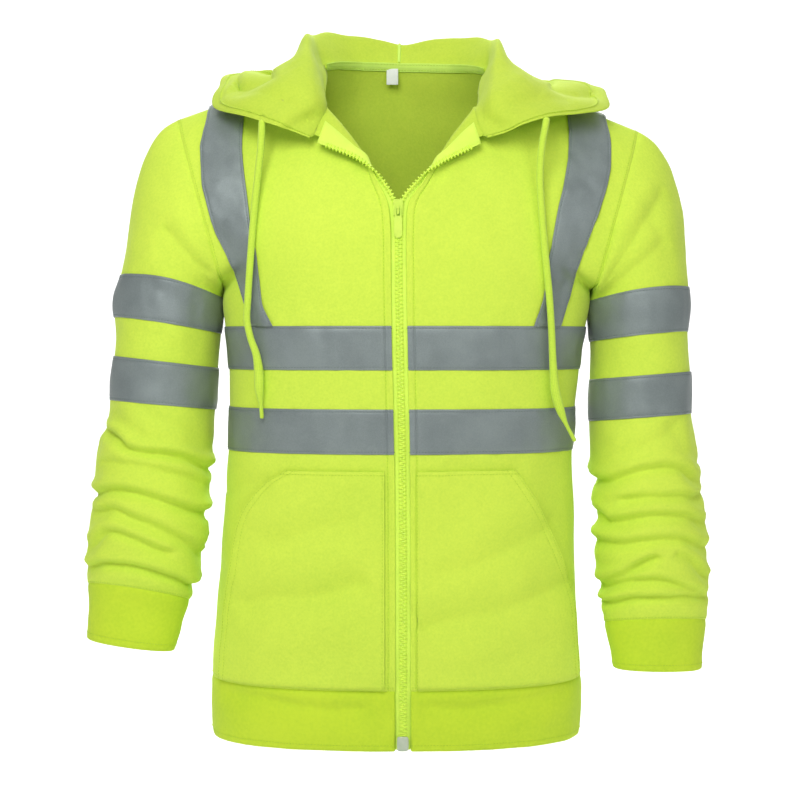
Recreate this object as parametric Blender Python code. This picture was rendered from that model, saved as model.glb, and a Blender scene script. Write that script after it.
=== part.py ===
"""Reflective hooded jacket: a zip-front fleece hoodie, filled out and empty, with reflective tapes.

Metres, +Z up, the front faces -Y. The origin is where the neck and shoulders of a wearer hold the jacket:
on the centre line, level with the shoulders. All tables are in millimetres.
"left" and "right" are the viewer's, who faces the front.
"""
import math

import bpy
import numpy as np

MM = 0.001
SIDES = {"left": -1.0, "right": 1.0}

# ---------------------------------------------------------------- driving sizes, mm
FLEECE = 2.2            # thickness of the body cloth
RIB = 3.0               # thickness of the doubled hem band and cuffs
TAPE = 0.9              # thickness of a reflective tape
SEAM = 0.3              # half of the gap between two sewn pieces
# the same where a seam is a sharp fold
FOLDED_SEAM = {"hood": 0.7, "sleeve_left": 0.4, "sleeve_right": 0.4}
TAPE_LIFT = 0.4         # gap under a tape
TAPE_MARGIN = 0.5       # from a band's end to the edge of its panel
BRACE_LIFT = 1.9
POCKET_LIFT = 1.5
POCKET_GAPE = 3.0       # how far a pocket's mouth stands off
Z_HEM = -708.0
Z_HEM_SEAM = -643.0
Z_ARMPIT = -232.0
SHOULDER_SHIFT = 9.0    # the shoulders sit this far to the right of the hem's centre
NECK_SHIFT = 3.0        # and the neck this far
SHOULDER_OUT = 180.0
SHOULDER_ROLL = 0.025   # and the right one is lower, as a slope
TAPE_EDGE = 9.5         # from the teeth to the edge of a front
ROLL_EDGE = 14.0        # from the teeth to the line where the open fronts roll over

# ---------------------------------------------------------------- the body below the arms
# one row for each level: its height, the middle, the half width, and the depths to front and back
TORSO = (
    # z     middle  half   front  back
    (-708, -4.5, 206.0, 114, 108),
    (-643, -4.0, 206.4, 117, 111),
    (-596, -4.0, 203.5, 118, 110),
    (-528, -2.3, 199.0, 116, 104),
    (-448, -0.6, 195.2, 114, 98),
    (-407, 0.0, 192.6, 115, 98),
    (-326, 3.4, 194.8, 120, 105),
    (-286, 4.5, 197.0, 122, 111),
    (-232, 7.3, 204.0, 122, 117),
    (-190, 8.0, 207.0, 121, 118),
)
FRONT_POWER = 2.35
BACK_POWER = 2.6
# the zip's line, x at each height
ZIP_LINE = ((-708, 3.2), (-386, 2.1), (-260, -0.5), (-132, -2.1), (-60, -2.1))

# ---------------------------------------------------------------- the yokes, from the armpits up
# guide lines that climb from the armpit level to a seam; across: 0 at the centre, 1 at the armhole
# each point is (outward, forward or back, up)
YOKE_FRONT = (
    # across   a quarter up        half up            three quarters      nine tenths        on the seam
    (0.25, (72, -115, -168), (88, -101, -113), (105, -78, -64), (112, -50, -22), (89, 24, 40)),
    (0.60, (152, -91, -172), (159, -80, -112), (168, -50, -54), (173, -24, -18), (176, 10, 5)),
    (1.00, (207, -60, -203), (224, -70, -141), (242, -44, -84), (253, -20, -50), (260, 4, -28)),
)
YOKE_BACK = (
    (0.00, (0, 117, -162), (0, 111, -92), (0, 97, -22), (0, 89, 16), (0, 79, 47)),
    (0.20, (42, 116, -164), (46, 109, -96), (51, 93, -26), (53, 82, 13), (53, 67, 46)),
    (0.40, (78, 112, -166), (86, 103, -102), (94, 80, -34), (97, 58, 4), (89, 24, 40)),
    (0.70, (150, 96, -172), (160, 85, -112), (171, 58, -50), (176, 36, -18), (176, 10, 5)),
    (1.00, (200, 54, -206), (211, 66, -146), (234, 44, -86), (250, 22, -50), (260, 4, -28)),
)
YOKE_STEPS = (0.0, 0.25, 0.5, 0.75, 0.9, 1.0)

# the open fronts: the line where each rolls over, the line of its teeth, and how far the flap stands off
LAPEL = {
    "left": (
        # up    roll x, y, z              teeth x, y, z            lift
        (0.00, (-15.3, -121.5, -232), (-1.1, -122, -232), 0.0),
        (0.25, (-15.8, -120.5, -180), (-2.0, -121, -180), 0.0),
        (0.40, (-16.4, -118.6, -146), (-2.4, -119.3, -145), 0.0),
        (0.46, (-17.0, -117.0, -132), (-2.9, -118, -130), 0.0),
        (0.58, (-27.0, -110.0, -110), (-14.0, -115, -109), 1.0),
        (0.70, (-33.0, -104.0, -86), (-28.5, -113, -90), 3.0),
        (0.80, (-46.5, -88.0, -61.5), (-55.0, -102, -73), 5.0),
        (0.90, (-65.0, -69.0, -36.0), (-75.0, -97, -65), 6.0),
        (1.00, (-81.0, -50.0, -13.5), (-93.6, -89, -58), 7.0),
    ),
    "right": (
        (0.00, (13.7, -121.5, -232), (-0.5, -122, -232), 0.0),
        (0.25, (12.6, -120.5, -180), (-0.8, -121, -180), 0.0),
        (0.40, (12.8, -118.6, -146), (-0.6, -119.3, -145), 0.0),
        (0.46, (13.0, -117.0, -132), (-1.1, -118, -130), 0.0),
        (0.58, (25.0, -110.0, -110), (13.0, -115, -107), 1.0),
        (0.70, (38.0, -104.0, -86), (33.5, -113, -91), 3.0),
        (0.80, (51.6, -88.0, -60.0), (52.0, -102, -76), 5.0),
        (0.90, (67.3, -69.0, -37.0), (72.8, -97, -67), 6.0),
        (1.00, (78.0, -50.0, -17.5), (91.9, -89, -57), 7.0),
    ),
}

# ---------------------------------------------------------------- sleeves, down to the end of the cuff
# one row for each level: its height, its middle, its half width and its half depth
SLEEVE = {
    "left": (
        # z      x      y     half  deep
        (-620, -299.0, -39, 49.0, 37),
        (-600, -296.0, -36, 50.5, 38),
        (-566, -290.0, -31, 53.5, 41),
        (-543, -286.0, -28, 60.0, 51),
        (-513, -283.5, -23, 64.0, 58),
        (-473, -279.5, -17, 65.2, 62),
        (-434, -276.0, -11, 65.2, 65),
        (-394, -274.0, -5, 64.5, 67),
        (-354, -267.5, 0, 59.0, 67),
        (-313, -265.0, 3, 59.0, 68),
        (-262, -260.0, 0, 58.5, 69),
        (-225, -257.0, 0, 57.0, 69),
        (-190, -250.0, 0, 52.0, 66),
    ),
    "right": (
        (-640, 283.5, -42, 49.5, 37),
        (-608, 282.8, -37, 50.5, 39),
        (-592, 282.0, -35, 54.0, 42),
        (-570, 281.8, -32, 58.5, 49),
        (-552, 281.6, -29, 60.0, 54),
        (-513, 279.2, -23, 62.4, 60),
        (-473, 278.3, -17, 61.8, 63),
        (-434, 275.3, -11, 60.4, 65),
        (-394, 272.6, -5, 58.8, 67),
        (-354, 269.5, 0, 56.8, 67),
        (-313, 270.0, 3, 56.0, 68),
        (-262, 268.0, 0, 55.0, 69),
        (-225, 265.0, 0, 54.0, 69),
        (-190, 260.0, 0, 50.0, 66),
    ),
}
# seams and band edges round a sleeve: height at the outer side and under the arm, how much the front is
# higher for each mm of depth, how late the line drops under the arm, and the rows from here to the next
SLEEVE_LINES = {
    "left": (
        # outer  inner  rise  drop  rows
        (-198.5, -244, 0.03, 1.8, 2),       # upper band's top
        (-245.0, -267, 0.03, 1.2, 2),
        (-288.5, -302, 0.03, 1.0, 2),       # lower band's top
        (-337.5, -348, 0.04, 1.0, 14),
        (-541.0, -558, 0.22, 1.0, 3),       # cuff seam
        (-598.0, -612, 0.06, 1.0, 0),
    ),
    "right": (
        (-212.0, -246, 0.03, 1.8, 2),
        (-261.0, -276, 0.03, 1.2, 2),
        (-306.0, -315, 0.03, 1.0, 2),
        (-352.5, -361, 0.04, 1.0, 14),
        (-580.0, -582, 0.20, 1.0, 3),
        (-630.5, -630, 0.05, 1.0, 0),
    ),
}
CUFF_LINE = 4           # the row of SLEEVE_LINES that is the cuff seam
CAP_OUT = (0.62, 0.29, 0.68)        # the way the cloth leaves the armhole: out, forward at the front, down
CAP_TURN = (0.28, 0.0, 0.22)        # and how that changes from the shoulder to under the arm

# ---------------------------------------------------------------- the hood, turned down
# guide sections from the neck seam over the roll to the face edge; "seam" counts the neck seam's steps
HOOD = (
    # seam   roll              fall             middle            far
    (0, (86, -91, -57), (87, -92, -56), (90, -93, -55), (92, -94, -54)),
    (2, (84, -80, -34), (92, -86, -34), (102, -91, -37), (112, -93, -40)),
    (4, (83, -56, -3), (92, -69, -1), (112, -83, -12), (134, -86, -22)),
    (5, (88, -24, 24), (99, -34, 34), (127, -52, 20), (166, -56, -2)),
    (7, (95, 24, 62), (108, 31, 79), (132, 26, 52), (170, 14, 24)),
    (9, (82, 70, 87), (96, 94, 79), (134, 106, -16), (170, 96, 16)),
    (10, (64, 82, 86), (78, 108, 68), (116, 122, -92), (146, 134, -4)),
    (11, (42, 90, 84), (52, 117, 52), (86, 137, -140), (108, 166, -30)),
    (12, (21, 95, 80), (26, 121, 32), (45, 147, -164), (55, 180, -52)),
    (13, (0, 97, 77), (0, 122, 20), (0, 150, -170), (0, 184, -60)),
)
# the face edge of the turned-down hood, a point for steps of the neck seam
FACE_EDGE = {
    "left": (
        (0, (-97, -92, -53)), (2, (-120, -93, -44)), (4, (-153, -84, -33)), (5, (-206, -28, -12)),
        (6, (-205, 18, 15)), (7, (-202, 60, 34)), (8, (-170, 92, 42)), (9, (-136, 118, 48)), (13, (2, 156, 44)),
    ),
    "right": (
        (0, (94, -92, -53)), (2, (116, -93, -46)), (4, (162, -84, -30)), (5, (228, -28, -15)),
        (6, (234, 15, 5)), (7, (230, 56, 20)), (8, (196, 92, 30)), (9, (158, 118, 38)), (13, (2, 156, 44)),
    ),
}
HOOD_ROWS = (2, 3, 4, 4, 4)     # steps along a section between one column of the table and the next

# ---------------------------------------------------------------- creases
# troughs on the cloth as seen from the front or the back: depth, half width, points (x, z)
CREASES = {
    "sleeve_left": (
        # face    deep  wide  points
        ("front", 3.6, 8, ((-328, -376), (-298, -389), (-256, -394), (-208, -424))),
        ("front", 2.0, 6, ((-336, -408), (-300, -405), (-258, -408))),
        ("front", 4.2, 8, ((-338, -434), (-300, -432), (-262, -440), (-218, -470))),
        ("front", 3.8, 7, ((-340, -461), (-300, -464), (-262, -473), (-222, -510))),
        ("front", 2.8, 6, ((-343, -496), (-314, -475), (-272, -489))),
        ("front", 4.2, 8, ((-348, -526), (-305, -512), (-270, -515), (-228, -546))),
        ("back", 3.6, 9, ((-330, -390), (-280, -402), (-212, -420))),
        ("back", 4.0, 9, ((-338, -436), (-285, -444), (-218, -466))),
        ("back", 4.0, 9, ((-342, -480), (-290, -484), (-222, -508))),
        ("back", 4.0, 8, ((-348, -524), (-295, -520), (-228, -544))),
        ("front", 3.0, 11, ((-250, -152), (-228, -178), (-202, -206))),
        ("front", 2.2, 10, ((-292, -208), (-262, -222), (-214, -238))),
        ("back", 3.0, 12, ((-256, -150), (-232, -184), (-206, -214))),
    ),
    "sleeve_right": (
        ("front", 4.0, 9, ((336, -438), (314, -420), (270, -411), (222, -436))),
        ("front", 2.6, 6, ((338, -464), (300, -446), (250, -444))),
        ("front", 4.0, 8, ((340, -488), (292, -466), (250, -469), (222, -481))),
        ("front", 3.2, 7, ((344, -513), (300, -491), (240, -500))),
        ("front", 4.0, 8, ((338, -532), (290, -507), (246, -516), (226, -542))),
        ("front", 3.2, 6, ((340, -548), (294, -537), (266, -535), (230, -553))),
        ("front", 2.8, 6, ((338, -562), (300, -556), (254, -558), (226, -571))),
        ("back", 3.6, 9, ((334, -400), (280, -408), (216, -426))),
        ("back", 4.0, 9, ((338, -446), (286, -452), (222, -470))),
        ("back", 4.0, 9, ((344, -494), (286, -500), (224, -516))),
        ("back", 4.0, 8, ((340, -548), (286, -542), (228, -556))),
        ("front", 3.0, 11, ((286, -118), (254, -158), (221, -208))),
        ("front", 2.6, 11, ((290, -166), (258, -192), (222, -216))),
        ("back", 3.0, 12, ((282, -140), (248, -178), (222, -214))),
    ),
    "front_left": (
        ("front", 3.0, 14, ((-196, -150), (-176, -190), (-160, -262))),
        ("front", 2.4, 22, ((-160, -560), (-120, -600), (-66, -622))),
    ),
    "front_right": (
        ("front", 3.0, 14, ((208, -160), (180, -200), (158, -262))),
        ("front", 2.6, 20, ((165, -540), (110, -570), (34, -612))),
        ("front", 2.0, 20, ((150, -470), (96, -500), (40, -520))),
    ),
    "back_panel": (
        ("back", 4.0, 20, ((-150, -440), (-60, -470), (20, -462))),
        ("back", 4.0, 20, ((160, -410), (80, -432), (-10, -420))),
        ("back", 3.4, 22, ((-140, -560), (-40, -590), (90, -600))),
    ),
}

# ---------------------------------------------------------------- what is sewn on
# the rows of the fronts and the back below the armpits; the bands' edges are rows of their own
LEVELS = (-643, -604, -562, -520, -482, -450, -420, -391.5, -367.7, -344, -323, -302, -278.7, -255.5, -232)
BANDS = {"upper": (11, 13), "lower": (7, 9)}        # the rows of LEVELS at a band's bottom and top
# a brace's inner and outer edge as seen from the front, x at each height
BRACES = {
    "left": (
        # z     inner   outer
        (-258, -133, -163),
        (-226, -149, -172),
        (-190, -157, -188),
        (-150, -163, -206),
        (-120, -166, -218),
        (-80, -173, -222),
        (-45, -178, -227),
        (0, -180, -228),
    ),
    "right": (
        (-258, 140, 170),
        (-226, 151, 183),
        (-190, 161, 194),
        (-150, 168, 208),
        (-120, 174, 222),
        (-80, 186, 232),
        (-45, 192, 238),
        (0, 194, 240),
    ),
}
BRACE_BACK = ((-258, 150, 196), (-120, 158, 204), (0, 178, 226))       # the same on the back, both sides

# a front pocket: the inner edge runs straight, the mouth is the slanted outer edge
POCKET = {
    "left": {"inner": -17.0, "top": -412.0,
             "mouth": ((-412, -122), (-428, -135), (-462, -166), (-500, -180), (-545, -190), (-641, -196))},
    "right": {"inner": 18.0, "top": -409.0,
              "mouth": ((-409, 122), (-438, 141), (-470, 157), (-500, 170), (-545, 183), (-641, 194))},
}
NECK_TAPE_HIGH = 10.0
NECK_TAPE_LIFT = 0.8
LABEL_X = (-15.5, -2.3)             # the blank label's edges
LABEL_DROPS = (20.0, 11.0, 2.0)     # and its rows, down from the neck seam

# across from the teeth and out from the cloth: the bead of teeth and the tape behind the front's edge
ZIP_PROFILE = ((0.0, -1.4), (3.0, -1.4), (3.0, -2.8), (12.0, -2.8), (12.0, -3.7), (0.0, -3.7))
ZIP_TAPE = 12.0         # from the teeth to the tape's edge, and the same between the ends of the hem band
ZIP_TAPE_HEM = 9.0
SLIDER = (-2.0, -117.6, -131.0)     # the back of the slider's front plate
PULL_AXIS = 3.4         # from there out to the pull's axis
PULL_LONG = 32.0
PULL_WIDE = 8.4
PULL_THICK = 1.5

CORD_THICK = 7.0
CORD_STEP = 14.0
# points (x, y, z) from the exit in the hood's casing down to the tip, with the thickness there
CORD_ROUTE = {
    "left": (
        (-148.5, -87, -35.7, 1), (-149.5, -88, -60, 1), (-153, -89.5, -95, 1), (-157, -91, -135, 1),
        (-160.5, -91, -180, 1), (-163.5, -90, -226, 1), (-164.4, -89.5, -249, 1), (-160.5, -90.5, -268, 1),
        (-154.5, -92, -285, 1.1), (-151.5, -92.5, -305, 1.35), (-151, -92.5, -325, 1.2), (-149.5, -91.5, -338, 0.62),
        (-148.3, -91, -353, 0.58),
    ),
    "right": (
        (157.5, -88, -33.3, 1), (152.5, -90, -62, 1), (150.3, -93, -90, 1), (152, -98, -135, 1),
        (155.5, -100.5, -180, 1), (160, -98.5, -226, 1), (162.5, -95, -262, 1), (164.5, -92, -300, 1.1),
        (167.5, -89.5, -328, 1.35), (173, -87.5, -347, 1.2), (178.5, -86, -360, 0.62), (188, -84, -378, 0.58),
    ),
}

# ---------------------------------------------------------------- resolution of the solids
LOWER_ROWS = len(LEVELS) - 1
YOKE_ROWS = 8
STRIP_COLUMNS = 5        # from the teeth to the roll line
SHOULDER_COLUMNS = 6     # along a shoulder seam
NECK_COLUMNS = 3         # from the roll line to the neck point
SIDE_COLUMNS = NECK_COLUMNS + SHOULDER_COLUMNS
BACK_NECK_COLUMNS = 6    # from the centre back to the neck point
CAP_ROWS = 7             # of a sleeve, from the armhole to the upper band
HEM_COLUMNS = 38
BRACE_COLUMNS = 4
POCKET_COLUMNS = 8


# ================================================================ curves and surfaces
def table_at(rows, key, column=1):
    """A column of a table at a key between its rows, on a smooth curve."""
    keys = np.array([float(row[0]) for row in rows])
    values = np.array([np.asarray(row[column], dtype=float) for row in rows])
    return hermite(keys, values, key)


def hermite(keys, values, key):
    """A smooth curve through values at rising keys, read at one key or an array of them."""
    keys = np.asarray(keys, dtype=float)
    values = np.asarray(values, dtype=float)
    wanted = np.clip(np.atleast_1d(np.asarray(key, dtype=float)), keys[0], keys[-1])
    spans = np.diff(keys)
    shape = (-1,) + (1,) * (values.ndim - 1)
    slopes = np.diff(values, axis=0) / spans.reshape(shape)
    tangents = np.empty_like(values)
    tangents[0] = slopes[0]
    tangents[-1] = slopes[-1]
    before = spans[:-1].reshape(shape)
    after = spans[1:].reshape(shape)
    if len(keys) > 2:
        tangents[1:-1] = (slopes[:-1] * after + slopes[1:] * before) / (before + after)
    at = np.clip(np.searchsorted(keys, wanted, side="right") - 1, 0, len(spans) - 1)
    step = spans[at].reshape(shape)
    t = ((wanted - keys[at]) / spans[at]).reshape(shape)
    result = (
        values[at] * (2 * t**3 - 3 * t**2 + 1)
        + tangents[at] * step * (t**3 - 2 * t**2 + t)
        + values[at + 1] * (3 * t**2 - 2 * t**3)
        + tangents[at + 1] * step * (t**3 - t**2)
    )
    return result[0] if np.ndim(key) == 0 else result


def chord_path(points, counts):
    """A smooth path through points, with counts[i] steps between point i and the next."""
    points = np.asarray(points, dtype=float)
    lengths = np.linalg.norm(np.diff(points, axis=0), axis=1)
    keys = np.concatenate([[0.0], np.cumsum(np.maximum(lengths, 1e-6))])
    wanted = [keys[0]]
    for i, count in enumerate(counts):
        wanted.extend(keys[i] + (keys[i + 1] - keys[i]) * (k + 1) / count for k in range(count))
    return hermite(keys, points, np.array(wanted))


def shouldered(side, point):
    """A mirrored point of the yoke or hood, moved to the shoulders' middle and slope."""
    out, depth, up = point
    shift = NECK_SHIFT + (SHOULDER_SHIFT - NECK_SHIFT) * min(out / SHOULDER_OUT, 1.0)
    return np.array([shift + SIDES[side] * out, depth, up - SHOULDER_ROLL * SIDES[side] * out])


def torso(z, angle):
    """A point of the body: angle 0 at the centre front, 90 degrees at the right side, 180 at the back."""
    middle = table_at(TORSO, z, 1)
    half = table_at(TORSO, z, 2)
    front = abs(angle) <= math.pi / 2
    power = FRONT_POWER if front else BACK_POWER
    depth = table_at(TORSO, z, 3 if front else 4)
    across = abs(math.sin(angle)) ** (2 / power)
    along = abs(math.cos(angle)) ** (2 / power)
    return np.array([
        middle + math.copysign(half * across, angle),
        -depth * along if front else depth * along,
        z,
    ])


def front_angle(z, x):
    """The angle at which the body's front has a given x."""
    reach = (x - table_at(TORSO, z, 1)) / table_at(TORSO, z, 2)
    return math.copysign(math.asin(min(abs(reach), 1.0) ** (FRONT_POWER / 2)), reach)


def even(points, fractions):
    """Points at fractions of the length of a dense path."""
    points = np.asarray(points)
    lengths = np.concatenate([[0.0], np.cumsum(np.linalg.norm(np.diff(points, axis=0), axis=1))])
    wanted = np.asarray(fractions) * lengths[-1]
    return np.column_stack([np.interp(wanted, lengths, points[:, axis]) for axis in range(3)])


def front_row(side, z):
    """One row of a front below the armpits: teeth, roll line and the body columns to the side seam."""
    sign = SIDES[side]
    zip_x = table_at(ZIP_LINE, z)
    teeth = torso(z, front_angle(z, zip_x + sign * SEAM * 2))
    roll_angle = front_angle(z, zip_x + sign * ROLL_EDGE)
    angles = np.linspace(roll_angle, sign * math.pi / 2, 60)
    body = even([torso(z, angle) for angle in angles], np.linspace(0, 1, SIDE_COLUMNS + 1))
    return teeth, body


def strip(roll, teeth, lift, inward):
    """The columns from the roll line to the teeth, flat when closed and turned over when open."""
    handle = np.linalg.norm(teeth - roll) / 3
    bend = lift / 7.0
    control_a = roll + inward * handle * (1 + 0.6 * bend) * (1 - 0.5 * bend) + FORWARD * lift
    control_b = teeth + (roll - teeth) / 3 + FORWARD * lift * 0.5
    edge = 1.0 - min(TAPE_EDGE / np.linalg.norm(teeth - roll), 0.6)
    fractions = np.append(np.linspace(0, edge, STRIP_COLUMNS), 1.0)[:, None]
    return (
        roll * (1 - fractions) ** 3
        + control_a * 3 * fractions * (1 - fractions) ** 2
        + control_b * 3 * fractions**2 * (1 - fractions)
        + teeth * fractions**3
    )


FORWARD = np.array([0.0, -1.0, 0.0])
HANGING = np.array([0.0, 0.0, -1.0])


def across_keys():
    """How far across a yoke each body column is at its top: the neck point falls on NECK_COLUMNS."""
    neck = np.linspace(0, YOKE_FRONT[0][0], NECK_COLUMNS + 1)
    shoulder = np.linspace(YOKE_FRONT[0][0], 1, SHOULDER_COLUMNS + 1)[1:]
    return np.concatenate([neck, shoulder])


def front_surface(side):
    """A front as a grid, rows from the hem seam to the neck and shoulder, columns from teeth to side."""
    sign = SIDES[side]
    rows = []
    for z in LEVELS:
        teeth, body = front_row(side, z)
        rows.append(np.vstack([strip(body[0], teeth, 0.0, np.array([-sign, 0, 0]))[::-1], body[1:]]))
    below = front_row(side, Z_ARMPIT - 40)[1]
    at_armpit = front_row(side, Z_ARMPIT)[1]
    guides = []
    for across, *points in YOKE_FRONT:
        fraction = across_fraction(across)
        start = even(at_armpit, [fraction])[0]
        lead = even(below, [fraction])[0]
        guides.append(guide_line(lead, start, [shouldered(side, point) for point in points]))
    for step in range(1, YOKE_ROWS + 1):
        up = step / YOKE_ROWS
        roll = table_at(LAPEL[side], up, 1)
        teeth = table_at(LAPEL[side], up, 2)
        lift = float(table_at([(r[0], [r[3]]) for r in LAPEL[side]], up, 1)[0])
        stations = [roll] + [guide(up) for guide in guides]
        keys = [0.0] + [across for across, *_ in YOKE_FRONT]
        body = hermite(keys, stations, across_keys())
        turned = min(lift / 3.0, 1.0)
        inward = unit(np.array([-sign, -0.07 - 0.6 * turned, 0.3 * turned]))
        rows.append(np.vstack([strip(roll, teeth, lift, inward)[::-1], body[1:]]))
    return np.array(rows)


def across_fraction(across):
    """Where on the armpit row a guide line starts, so that the columns keep even."""
    return float(np.interp(across, across_keys(), np.linspace(0, 1, SIDE_COLUMNS + 1)))


def guide_line(lead, start, points):
    """A guide line of a yoke as a function of the way up, leaving the armpit row in the body's own direction."""
    keys = np.array([-0.15] + list(YOKE_STEPS))
    values = np.array([lead, start] + points)
    return lambda up: hermite(keys, values, up)


def back_surface():
    """The back as a grid, rows from the hem seam to the neck and shoulders, columns from left to right."""
    halves = {}
    top_keys = np.concatenate([
        np.linspace(0, YOKE_BACK[2][0], BACK_NECK_COLUMNS + 1),
        np.linspace(YOKE_BACK[2][0], 1, SHOULDER_COLUMNS + 1)[1:],
    ])
    columns = len(top_keys)
    for side, sign in SIDES.items():
        rows = []

        def ring(z):
            angles = np.linspace(sign * math.pi, sign * math.pi / 2, 60)
            return even([torso(z, angle * 0.99999 if angle == sign * math.pi else angle) for angle in angles],
                        np.linspace(0, 1, columns))

        for z in LEVELS:
            rows.append(ring(z))
        below = ring(Z_ARMPIT - 40)
        at_armpit = ring(Z_ARMPIT)
        guides = []
        for across, *points in YOKE_BACK:
            fraction = float(np.interp(across, top_keys, np.linspace(0, 1, columns)))
            start = even(at_armpit, [fraction])[0]
            lead = even(below, [fraction])[0]
            guides.append(guide_line(lead, start, [shouldered(side, point) for point in points]))
        for step in range(1, YOKE_ROWS + 1):
            stations = [guide(step / YOKE_ROWS) for guide in guides]
            rows.append(hermite([row[0] for row in YOKE_BACK], stations, top_keys))
        halves[side] = np.array(rows)
    return np.concatenate([halves["left"][:, :0:-1], halves["right"]], axis=1)


def sleeve_ring(side, line, count):
    """One ring of a sleeve, from the side that faces the body round the front to the outside and back."""
    sign = SIDES[side]
    outer, inner, rise, drop = line[:4]
    angles = np.arange(count) * 2 * math.pi / count
    share = 0.5 + 0.5 * np.cos(angles)
    heights = outer + (inner - outer) * share**drop
    x, y, half, deep = (table_at(SLEEVE[side], heights, column) for column in range(1, 5))
    depth = -deep * np.sin(angles)
    return np.column_stack([x - sign * half * np.cos(angles), y + depth, heights - rise * depth])


def sleeve_lines(side, first, last):
    """The lines of a sleeve's rows from one row of its table to another."""
    table = np.array(SLEEVE_LINES[side], dtype=float)
    lines = []
    for k in range(first, last):
        steps = int(table[k][4])
        lines.extend(table[k] + (table[k + 1] - table[k]) * i / steps for i in range(steps))
    return lines + [table[last]]


def sleeve_surface(side, armhole):
    """A sleeve as a closed grid that starts on the armhole loop; rows go down to the cuff seam."""
    sign = SIDES[side]
    count = len(armhole)
    angles = np.arange(count) * 2 * math.pi / count
    lines = sleeve_lines(side, 0, CUFF_LINE)
    first = sleeve_ring(side, lines[0], count)
    second = sleeve_ring(side, lines[1], count)
    out = unit(np.column_stack([
        sign * (CAP_OUT[0] - CAP_TURN[0] * np.cos(angles)),
        -CAP_OUT[1] * np.sin(angles),
        -CAP_OUT[2] - CAP_TURN[2] * np.cos(angles),
    ]))
    down = unit(second - first)
    reach = np.linalg.norm(first - armhole, axis=1)[:, None]
    rows = []
    for step in range(CAP_ROWS):
        t = step / CAP_ROWS
        rows.append(
            armhole * (2 * t**3 - 3 * t**2 + 1)
            + out * reach * (t**3 - 2 * t**2 + t)
            + first * (3 * t**2 - 2 * t**3)
            + down * reach * (t**3 - t**2)
        )
    return np.array(rows + [sleeve_ring(side, line, count) for line in lines])


def hood_surface(neck):
    """The hood as a grid: columns follow the neck seam from left to right, rows run out to the face edge."""
    half = HOOD[-1][0]
    sections = {}
    for side, sign in SIDES.items():
        line = neck[:half + 1] if side == "left" else neck[half:][::-1]
        columns = []
        for seam in range(half + 1):
            path = [line[seam]]
            for column in range(1, 5):
                out, depth, up = table_at(HOOD, seam, column)
                path.append((NECK_SHIFT + sign * out, depth, up - SHOULDER_ROLL * sign * out))
            path.append(table_at(FACE_EDGE[side], seam))
            tip = max(0.0, 1.0 - (seam / 3.0) ** 2)
            for k, share in enumerate((0.2, 0.4, 0.6, 0.8), start=1):
                straight = path[0] + (path[-1] - path[0]) * share
                path[k] = np.array(path[k]) * (1 - tip) + straight * tip
            columns.append(chord_path(path, HOOD_ROWS))
        sections[side] = np.array(columns)
    middle = (sections["left"][-1] + sections["right"][-1]) / 2
    joined = np.concatenate([sections["left"][:-1], [middle], sections["right"][-2::-1]], axis=0)
    return joined.transpose(1, 0, 2)


# ================================================================ creases
def crease_depths(points, normals, creases):
    """How far each point sinks into the creases that its side of the cloth has."""
    sunk = np.zeros(points.shape[:-1])
    for face, deep, wide, line in creases:
        path = chord_path([(x, 0, z) for x, z in line], [8] * (len(line) - 1))[:, [0, 2]]
        flat = points[..., [0, 2]]
        gaps = np.linalg.norm(flat[..., None, :] - path, axis=-1)
        nearest = gaps.argmin(axis=-1)
        gap = gaps.min(axis=-1)
        along = nearest / (len(path) - 1)
        taper = np.clip(np.minimum(along, 1 - along) * 5 + 0.45, 0, 1)
        facing = -normals[..., 1] if face == "front" else normals[..., 1]
        weight = np.clip(facing * 1.4 + 0.5, 0, 1)
        sunk += deep * np.exp(-((gap / wide) ** 2)) * taper * weight
    return sunk


# ================================================================ walls
def grid_normals(points, closed, flip):
    """Unit normals of a grid of points, from its neighbours along rows and columns."""
    if closed:
        across = np.roll(points, -1, axis=1) - np.roll(points, 1, axis=1)
    else:
        across = np.gradient(points, axis=1)
    along = np.gradient(points, axis=0)
    normals = np.cross(across, along) * (-1.0 if flip else 1.0)
    lengths = np.linalg.norm(normals, axis=2, keepdims=True)
    return normals / np.maximum(lengths, 1e-9)


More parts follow.
